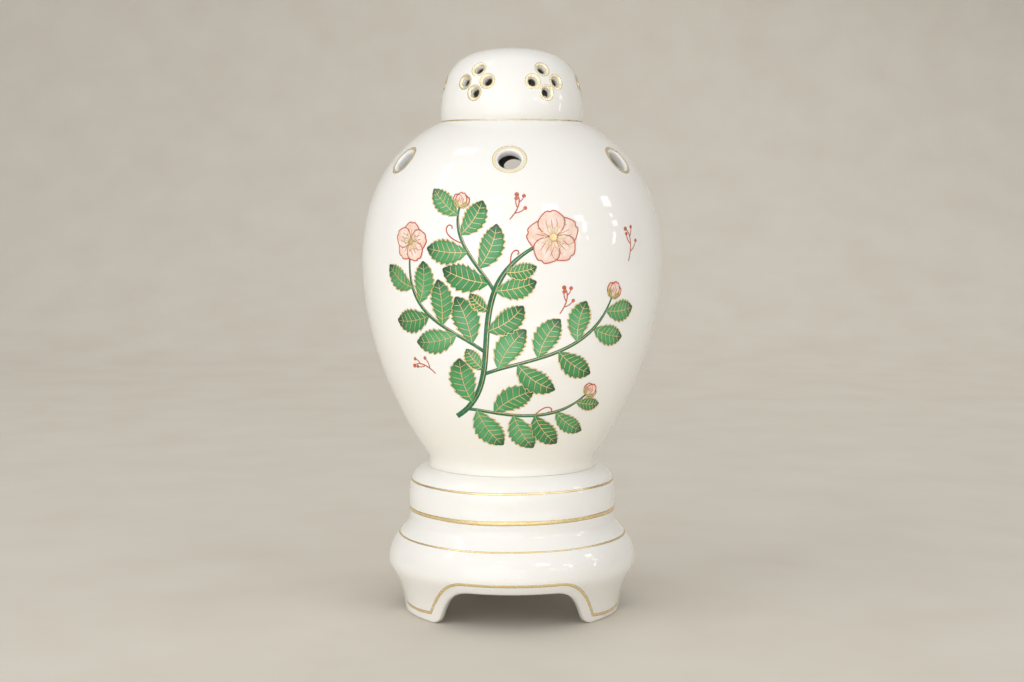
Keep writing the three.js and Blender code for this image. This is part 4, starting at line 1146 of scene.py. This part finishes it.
def makeSpray():
    enamel, gold, stems, red, wash = [], [], [], [], []
    hand = np.random.default_rng(spray["seed"])
    stem = bezier(*spray["stem"], 120)
    twigs = [(bezier(stem[int(share * 119)], *pulls, 80), count, bears)
             for share, *pulls, count, bears in spray["twigs"]]
    branches = twigs + [(stem, spray["stemLeaves"], ("blossom", spray["crown"]))]
    filled = np.vstack([np.column_stack([path[::4], np.full(len(path[::4]), 0.8)]) for path, *_ in branches])
    hearts = []
    for path, _, (bloom, size) in branches:
        reach = headings(path)[-1]
        hearts.append(path[-1] + 0.5 * size * np.array([math.cos(reach), math.sin(reach)]))
        filled = np.vstack([filled, [*hearts[-1], size if bloom == "blossom" else 0.6 * size]])
    for order, (path, count, (bloom, size)) in enumerate(branches):
        width = spray["twigWidth"] if order < len(twigs) else spray["stemWidth"]
        stems.append(brushed(path, width, 0.0, 7, (1, 0.5)))
        gold.append(brushed(path[4:-3] + 0.2 * width, 0.3, 0.02))
        leaves, filled = leavesAlong(path, count, hand, order, filled)
        for leaf in leaves:
            paintLeaf(leaf, enamel, gold)
        reach = headings(path)[-1]
        if bloom == "blossom":
            paintBlossom(hearts[order], size, reach, wash, red, gold)
        else:
            paintBud(path[-1], size, reach, wash, red, enamel, gold)
    for order, share, size in spray["tendrils"]:
        path = branches[order][0]
        start = int(share * (len(path) - 1))
        tendril = curl(path[start], headings(path)[start] + 0.8, size, -0.5, -4.8)
        red.append(brushed(tendril, 0.55, ends=(0.6, 0.9)))
    for sprig in spray["redSprigs"]:
        berrySprig(*sprig, red)
    layers = (("painted_leaves", enamel, greenEnamel, ["along", "aside", "tone"]),
              ("painted_stems", stems, stemEnamel, ["edge"]), ("pink_wash", wash, blushWash, ["edge"]),
              ("iron_red_strokes", red, ironRed, ["edge"]), ("gilt_strokes", gold, lineGold, ["edge"]))
    for name, parts, finish, attributes in layers:
        addPiece(name, parts, finish, "vase", attributes=attributes)


makeSpray()
print("stage: decoration painted")


# Compression-moulded phenolic: glossy, nearly black brown; dry-pressed steatite: chalky cream
bakelite = mouldedFinish("moulded_phenolic", "#2b201a", "#1d1613", 0.28, 1.58, 1.2, 0.01)
pressedSteatite = mouldedFinish("pressedSteatite", "#e9e3d2", "#d9d0ba", 0.5, 1.55, 0.6, 0.02)
# Stamped and turned brass: warm, with the tool's lines; zinc-plated steel: bluish, soft sheen
stampedBrass = metalFinish("stampedBrass", "#d9b36a", "#b98b45", 0.28, 3.0)
turnedBrass = metalFinish("turnedBrass", "#dcb66c", "#c1934c", 0.22, 2.0, (1.0, 1.0, 12.0))
zincSteel = metalFinish("zincPlatedSteel", "#cfd2d4", "#a9adb2", 0.3, 2.5)
# Vulcanised fibre: dull brick red; natural nylon: waxy ivory
redFibre = mouldedFinish("vulcanisedFibre", "#7c2d1f", "#642318", 0.55, 1.5, 0.8, 0.02)
nylon = mouldedFinish("naturalNylon", "#ded8c8", "#d2cab6", 0.38, 1.53, 1.5, 0.01)
# Blown and pressed soda-lime glass: clear, the stem faintly green
blownGlass = clearGlass("blownSodaGlass", "#f8fbf9")
stemGlass = clearGlass("pressedStemGlass", "#edf4f0")
# Rolled brass shell: pale and bright; insulator glass: glossy black; solder: dull silver; wire: dark grey
rolledBrass = metalFinish("rolledBrassShell", "#dcc084", "#bf9a58", 0.24, 2.5)
vitrite = mouldedFinish("blackInsulatorGlass", "#15151a", "#0d0d10", 0.12, 1.52, 2.0, 0.01)
tinSolder = metalFinish("tinSolder", "#c9cacb", "#a5a6a8", 0.32, 1.2, (1.0, 1.0, 1.0), 0.02)
drawnTungsten = metalFinish("drawnTungsten", "#8f9094", "#6c6d72", 0.35, 1.0)


def threadWave(height, angle, pitch):
    # 0 on the crest of a right-hand helix and 1 in its root
    return 0.5 - 0.5 * np.cos(fullTurn * height / pitch - angle)


screwPitch = 2.82  # mm, of the small screw cap and of the sleeve it turns in

# What is worked into the turned pieces: the depth and the share of it at a radius, height and turn,
# from where to where up the piece (0 its foot or 1 its top, and an offset), over what run it fades in
# and out, and the columns, spacing and corner steps of the mesh
ribs = (0.45, lambda radius, height, turn: (0.5 + 0.5 * np.cos(30 * turn)) ** 3 * (radius > 13),
        (0, 9.5), (1, -2), 0.6, (240, 0.6, 3))
shadeThread = (0.6, lambda radius, height, turn: threadWave(height, turn, 2.0) ** 2 * (radius > 12.8),
               (0, 12), (1, -4), 0.6, (144, 0.3, 3))
sleeveThread = (-0.6, lambda radius, height, turn: (1 - threadWave(height, turn, screwPitch)) * (radius < 8),
                (0, 1.5), (1, -0.5), 1.5, (72, 0.35, 3))
capThread = (0.8, lambda radius, height, turn: threadWave(height, turn, screwPitch),
             (0, 2.2), (0, 14), 1.2, (72, 0.35, 3))
tubeThread = (0.55, lambda radius, height, turn: threadWave(height, turn, 1.0) * (radius > 4.5),
              (0, 0), (1, 0), 0.8, (48, 0.17, 2))
teeth = (1.4, lambda radius, height, turn: np.clip(0.5 + 2.5 * np.cos(14 * turn), 0, 1)
         * np.clip(radius - 6.4, 0, 1), (0, -5), (1, 5), 0.6, (168, 0.5, 3))

washer = ((5.3, 0, 0, 0.1), (11.0, 0, 0, 0.15), (11.0, 1, 0, 0.15), (5.3, 1, 0, 0.1))
turnedPieces = (  # name and what it is dressed as; corners as radius, end, offset from that end, round
    ("holder_cap", "moulded", "stand", "holder_plastic", bakelite, ribs,
     ((5.3, 0, 0, 0.3), (8.0, 0, 0, 0.5), (8.5, 0, 2.5, 0.8), (12.5, 0, 6, 1.2), (14.0, 0, 9, 1.5),
      (14.0, 1, 0, 0.4), (12.0, 1, 0, 0.4), (12.0, 0, 12.7, 0.2), (8.4, 0, 12.7, 0.3), (8.4, 0, 9, 0.5),
      (7.0, 0, 5, 0.5), (5.3, 0, 5, 0.3))),
    ("holder_skirt", "moulded", "stand", "holder_plastic", bakelite, shadeThread,
     ((9.7, 0, 0, 0.3), (11.7, 0, 0, 0.3), (11.7, 0, 6, 0.2), (14.0, 0, 6, 0.4), (14.0, 0, 9, 0.4),
      (13.3, 0, 9.7, 0.3), (13.3, 1, -1, 0.5), (12.3, 1, 0, 0.5), (8.9, 1, 0, 0.5), (8.9, 1, -3, 0.4),
      (10.7, 1, -5, 0.6), (10.7, 0, 8, 0.3), (9.7, 0, 7, 0.3))),
    ("holder_thread_sleeve", "", "stand", "contact_brass", stampedBrass, sleeveThread,
     ((7.1, 0, 0, 0.1), (8.8, 0, 0, 0.15), (8.8, 0, 0.6, 0.15), (7.4, 0, 0.6, 0.3), (7.4, 1, 0, 0.1),
      (7.1, 1, 0, 0.1))),
    ("threaded_tube", "cut", "stand", "plated_steel", zincSteel, tubeThread,
     ((4.0, 0, 0, 0.2), (5.0, 0, 0, 0.4), (5.0, 1, 0, 0.4), (4.0, 1, 0, 0.2))),
    ("upper_washer", "punched", "stand", "fibre", redFibre, None, washer),
    ("lower_washer", "punched", "stand", "fibre", redFibre, None, washer),
    ("lock_washer", "toothed", "stand", "plated_steel", zincSteel, teeth,
     ((5.3, 0, 0, 0.1), (8.4, 0, 0, 0.1), (8.4, 1, 0, 0.1), (5.3, 1, 0, 0.1))),
    ("cable_bushing", "moulded", "stand", "bushing_plastic", nylon, None,
     ((3.2, 0, 0, 0.4), (6.0, 0, 0, 0.5), (6.0, 0, 1.5, 0.4), (3.7, 0, 1.5, 0.2), (3.7, 1, 0, 0.2),
      (3.2, 1, 0, 0.2))),
    ("bulb_stem", "pressed", "bulb", "stem_glass", stemGlass, None,
     ((0, 0, 0, 0), (6.0, 0, 0, 0.3), (3.6, 0, 3, 1.5), (2.2, 0, 8, 2.0), (2.2, 1, -1, 0.6), (1.5, 1, 0, 0.4),
      (0, 1, 0, 0))),
    ("bulb_cap", "rolled", "bulb", "cap_metal", rolledBrass, capThread,
     ((6.6, 0, 0, 0.1), (6.9, 0, 0, 0.1), (6.9, 0, 14.5, 0.4), (7.9, 0, 15.7, 0.4), (7.9, 1, 0, 0.1),
      (7.6, 1, 0, 0.1), (7.6, 0, 16, 0.4), (6.6, 0, 14.8, 0.4))),
    ("bulb_insulator", "pressed", "bulb", "black_glass", vitrite, None,
     ((0, 0, 0, 0), (3.0, 0, 0, 0.5), (6.2, 0, 2.8, 0.9), (6.2, 1, 0, 0.3), (0, 1, 0, 0))),
    ("bulb_contact", "tinned", "bulb", "solder", tinSolder, None,
     ((0, 0, 0, 0), (1.5, 0, 0, 0.8), (2.4, 0, 0.9, 0.5), (2.4, 1, 0, 0.2), (0, 1, 0, 0))),
)
dressedNodes = {
    "holder_centre_contact": stampedBrass, "terminal_screw_left": stampedBrass,
    "terminal_screw_right": stampedBrass, "holder_insert": pressedSteatite, "hex_nut": turnedBrass,
}


def workedTurning(ends, corners, work):
    # Takes a share of the depth off the radius, between two heights
    depth, pattern, (startEnd, start), (stopEnd, stop), ease, mesh = work

    def change(radius, height, angle):
        inside = np.minimum(height - ends[startEnd] - start, ends[stopEnd] + stop - height)
        return radius - depth * pattern(radius, height, angle) * np.clip(inside / ease, 0, 1)

    return shapedTurning(corners, change, *mesh)


def makeTurnedPieces():
    for node, manner, body, slot, finish, work, profile in turnedPieces:
        ends = nodeSpan(node)
        corners = [(radius, ends[end] + offset, edge) for radius, end, offset, edge in profile]
        part = workedTurning(ends, corners, work) if work else turned(corners)
        name = node + "_" + manner if manner else "holder_sleeve_rolled"
        addPiece(name, [part], finish, body, [node])
    for node, finish in dressedNodes.items():
        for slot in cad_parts[node].material_slots:
            slot.material = finish


makeTurnedPieces()
print("stage: lampholder, fixing and bulb cap made")


# Glass and filament of the bulb

bulb = {
    "neck": 7.2, "neckHeight": 3.0, "globe": 22.5, "globeRise": 34.0, "joinBelow": math.radians(50),
    "neckPulls": (((1, 6), (-5, -6), 40),), "wall": 0.6, "columns": 96,
    # of the lead wires and the supports: x at the foot, its pull and the top, height of the second pull
    # and of the top over the filament's level, radius of the wire, points, sides
    "wires": ((1.1, 1.4, 8.6, 5, 0.5, 0.3, 30, 8), (0.5, 0.6, 3.0, 7, 1.0, 0.12, 24, 6)), "wireRise": 6,
    "coilRadius": 0.42, "coilWire": 0.11, "coilTurns": 34, "span": 8.6, "sag": 0.9,
}


def makeBulbGlass():
    foot = nodeSpan("bulb_glass")[0]
    middle = foot + bulb["globeRise"]
    join = (bulb["globe"] * math.cos(bulb["joinBelow"]), middle - bulb["globe"] * math.sin(bulb["joinBelow"]))
    top = (bulb["neck"], foot + bulb["neckHeight"])
    sweep = np.linspace(-bulb["joinBelow"], math.pi / 2, 60)
    globe = np.stack([bulb["globe"] * np.cos(sweep), middle + bulb["globe"] * np.sin(sweep)], axis=1)
    neck = np.linspace((bulb["neck"], foot), top, 5)
    outline = outlineOf(neck, *curved([top, join], bulb["neckPulls"]), globe)
    inner = np.stack(sampleOutline(outline, outline["length"], bulb["wall"])[:2], axis=1)
    outer = outline["points"].copy()
    outer[-1, 0] = inner[-1, 0] = 0.0
    inner[:, 0] = np.maximum(inner[:, 0], 0)
    section = np.vstack([outer, inner[::-1]])
    part = gridPart(revolved(section, evenTurn(bulb["columns"])), wrapRows=True, wrapColumns=True)
    addPiece("bulb_glass_blown", [part], blownGlass, "bulb", ["bulb_glass"])


def makeFilament():
    # The coiled filament on its lead wires and two supports
    low, high = nodeSpan("bulb_filament")
    level, span = high - 2.0, bulb["span"]
    wires = []
    for side in (-1, 1):
        for foot, pull, end, pullHeight, rise, radius, count, sides in bulb["wires"]:
            path = bezier((side * foot, 0, low), (side * pull, 0, low + bulb["wireRise"]),
                          (side * end, 0, low + pullHeight), (side * end, 0, level + rise), count)
            wires.append(wirePart(path, radius, (0.0, 1.0, 0.0), sides))
    t = np.linspace(0, 1, bulb["coilTurns"] * 12)
    sag = level + 0.7 - bulb["sag"] * np.abs(np.sin(1.5 * math.pi * (2 * t - 1)))
    wind = fullTurn * bulb["coilTurns"] * t
    coil = np.stack([span * (2 * t - 1), bulb["coilRadius"] * np.sin(wind),
                     sag + bulb["coilRadius"] * np.cos(wind)], axis=1)
    wires.append(wirePart(coil, bulb["coilWire"], (1.0, 0.0, 0.0), 5))
    addPiece("bulb_filament_coiled", wires, drawnTungsten, "bulb", ["bulb_filament"])


makeBulbGlass()
makeFilament()
print("stage: bulb made")


# Studio

studio = {
    "floor": "#d9d4ca", "grain": "#d4cec3", "lens": 59.77, "sensor": 36.0, "pixels": (1024, 682),
    "camera": (0.0, -0.760, 0.1893), "down": math.radians(5.20),
    "front": -2.5, "back": 1.6, "bend": 0.6, "top": 2.6, "halfWidth": 3.0,  # metres, of floor and backdrop
}
lighting = {
    "room": ("#f7f5f2", 0.42, 0.80),  # colour, and radiance at the horizon and overhead
    "mirroredRoom": (0.12, 1.0),  # radiance that gloss mirrors at the back, and in front and overhead
    # the room seen beyond the floor is darker at the horizon: painted shade, like the far floor's fading
    # light
    "seenRoom": ("#b5aea2", "#d3ccc0", 0.3),  # as backdrop: at the horizon, and from this height up
    "softboxes": {  # radiance, width, height, place, what it faces and whether the glaze mirrors it
        "keySoftbox": (1.52, 0.9, 0.9, (-1.15, -0.9, 1.1), (0, 0, 0.12), False),
        "fillSoftbox": (0.62, 0.8, 0.8, (1.0, -0.8, 1.5), (0, 0, 0.12), False),
        "backSoftbox": (0.9, 1.0, 0.8, (0.3, 1.3, 1.0), (0, 0, 0.12), False),
        "frontScreen": (0.78, 1.8, 0.8, (-0.45, -1.55, 0.42), (0, 0, 0.12), True),
        "lowScreen": (1.5, 0.7, 0.22, (-0.55, -0.75, 0.12), (0, 0, 0), False),
        "floorCard": (0.85, 0.55, 0.17, (0.0, -0.26, 0.008), (0, -0.24, 0.5), True),
    },
    # Bright panes whose mirror images lie at these pixels: x, y, width and height there, and radiance
    "panes": ((550, 209, 16, 9, 4.0), (579, 218, 9, 5, 4.0), (606, 201, 7, 9, 4.0), (611, 215, 4, 3, 3.5),
              (615, 223, 5, 5, 3.5), (562, 231, 8, 5, 3.0), (577, 235, 6, 5, 3.0), (587, 238, 3, 3, 3.0),
              (493, 213, 14, 7, 3.0), (440, 181, 7, 34, 1.6), (466, 151, 20, 5, 1.6),
              (501, 562, 5, 1.5, 2.5), (571, 566, 3.5, 2.5, 4.0), (595, 564, 2, 3, 4.0)),
    "paneDistance": 1.5,
}


def makeStudio():
    # A floor that curves up into a backdrop, in one sheet
    s = studio
    run = np.linspace(s["front"], s["back"] - s["bend"], 12)
    q = np.linspace(0, math.pi / 2, 16)[1:]
    y = np.r_[run, s["back"] - s["bend"] * (1 - np.sin(q)), np.full(6, s["back"])]
    z = np.r_[0 * run, s["bend"] * (1 - np.cos(q)), np.linspace(s["bend"], s["top"], 7)[1:]]
    x = np.linspace(-s["halfWidth"], s["halfWidth"], 9)
    points = np.stack(np.broadcast_arrays(x[None, :], y[:, None], z[:, None]), axis=-1)
    material, tree, place = newMaterial("paleStudioPaper")
    tone = mixColours(tree, patches(tree, place, 60.0, 3.0, 0.3, 0.7), s["floor"], s["grain"])
    principled(material, {"Roughness": 0.85, "Specular IOR Level": 0.2}, {"Base Color": tone})
    mesh = bpy.data.meshes.new("studio_floor")
    mesh.from_pydata(points.reshape(-1, 3).tolist(), [], gridQuads(len(y), len(x))[:, ::-1].tolist())
    mesh.shade_smooth()
    mesh.materials.append(material)
    floor = bpy.data.objects.new("studio_floor", mesh)
    bpy.context.scene.collection.objects.link(floor)


def addLamp(name, radiance, size, place, target, mirrored, across=None):
    # A rectangle that faces its target, with its width along across, or level where none is given
    light = bpy.data.lights.new(name, "AREA")
    light.shape = "RECTANGLE"
    light.size, light.size_y = size
    light.energy = 4 * radiance * size[0] * size[1]  # a rectangle's radiance is a quarter of power per area
    lamp = bpy.data.objects.new(name, light)
    bpy.context.scene.collection.objects.link(lamp)
    lamp.location = place
    away = unit(np.array(place) - np.array(target))
    across = unit(np.cross([0, 0, 1], away) if across is None else across - (across @ away) * away)
    turn = Matrix(np.column_stack([across, np.cross(away, across), away]).tolist())
    lamp.rotation_euler = turn.to_euler()
    lamp.visible_camera = False
    lamp.visible_glossy = mirrored


def mirroredPlace(pixel, distance):
    # The spot on the lamp seen at a pixel, and the place at a distance that the glaze mirrors there
    focal = studio["lens"] / studio["sensor"] * studio["pixels"][0]
    right = (pixel[0] - studio["pixels"][0] / 2) / focal
    up = (studio["pixels"][1] / 2 - pixel[1]) / focal
    down = studio["down"]
    way = unit(np.array([right, math.cos(down) + up * math.sin(down),
                         up * math.cos(down) - math.sin(down)]))
    ray = np.array(studio["camera"]) / mm + way * np.linspace(600, 780, 9001)[:, None]
    radius = np.hypot(ray[:, 0], ray[:, 1])
    outside = np.vstack([standShape["points"], vaseShape["points"]])
    hit = int(np.argmax(radius < np.interp(ray[:, 2], outside[:, 1], outside[:, 0])))
    spot = ray[hit]
    shape = standShape if spot[2] < stand["height"] else vaseShape
    _, _, normalR, normalZ = sampleOutline(shape, lengthAt(shape, spot[2]))
    normal = np.array([*(normalR * spot[:2] / radius[hit]), normalZ])
    mirrored = way - 2 * (way @ normal) * normal
    return spot * mm, spot * mm + mirrored * distance


def makeLight():
    world = bpy.data.worlds.new("softRoom")
    bpy.context.scene.world = world
    world.use_nodes = True
    tree = world.node_tree
    tree.nodes.clear()
    colour, level, overhead = lighting["room"]
    way = addNode(tree, "ShaderNodeTexCoord").outputs["Generated"]
    height = addNode(tree, "ShaderNodeSeparateXYZ", links={0: way}).outputs["Z"]
    facing = addNode(tree, "ShaderNodeVectorMath", {"operation": "DOT_PRODUCT", 1: (0.0, -0.7, 0.7)},
                     {0: way}).outputs["Value"]
    path = addNode(tree, "ShaderNodeLightPath")
    radiance = addNode(tree, "ShaderNodeMix", links={
        0: path.outputs["Is Glossy Ray"], 2: spread(tree, height, 0.0, 1.0, level, overhead),
        3: spread(tree, facing, -0.1, 0.6, *lighting["mirroredRoom"])})
    room = addNode(tree, "ShaderNodeBackground", {"Color": toLinear(colour)},
                   {"Strength": radiance.outputs[0]})
    # painted shade: what the camera sees beyond the floor is darker at the horizon, where the far floor gets
    # little light
    horizon, sky, level = lighting["seenRoom"]
    seen = addNode(tree, "ShaderNodeBackground",
                   links={"Color": mixColours(tree, spread(tree, height, 0.0, level), horizon, sky)})
    both = addNode(tree, "ShaderNodeMixShader",
                   links={0: path.outputs["Is Camera Ray"], 1: room.outputs[0], 2: seen.outputs[0]})
    addNode(tree, "ShaderNodeOutputWorld", links={"Surface": both.outputs[0]})
    for name, (radiance, width, height, place, target, mirrored) in lighting["softboxes"].items():
        addLamp(name, radiance, (width, height), place, target, mirrored)
    distance = lighting["paneDistance"]
    for number, (x, y, width, height, radiance) in enumerate(lighting["panes"]):
        spot, place = mirroredPlace((x, y), distance)
        left, right, low, high = (
            mirroredPlace(pixel, distance)[1]
            for pixel in ((x - width / 2, y), (x + width / 2, y), (x, y + height / 2), (x, y - height / 2)))
        size = (np.linalg.norm(right - left), np.linalg.norm(high - low))
        addLamp("pane" + str(number), radiance, size, place, spot, True, right - left)


def makeCamera():
    camera = bpy.data.cameras.new("camera")
    camera.lens = studio["lens"]
    camera.sensor_width = studio["sensor"]
    camera.clip_start = 0.01
    holder = bpy.data.objects.new("camera", camera)
    holder.location = studio["camera"]
    holder.rotation_euler = (math.pi / 2 - studio["down"], 0, 0)
    bpy.context.scene.collection.objects.link(holder)
    bpy.context.scene.camera = holder


makeStudio()
makeLight()
makeCamera()
bpy.context.scene.view_settings.view_transform = "Standard"
print("stage: studio made")
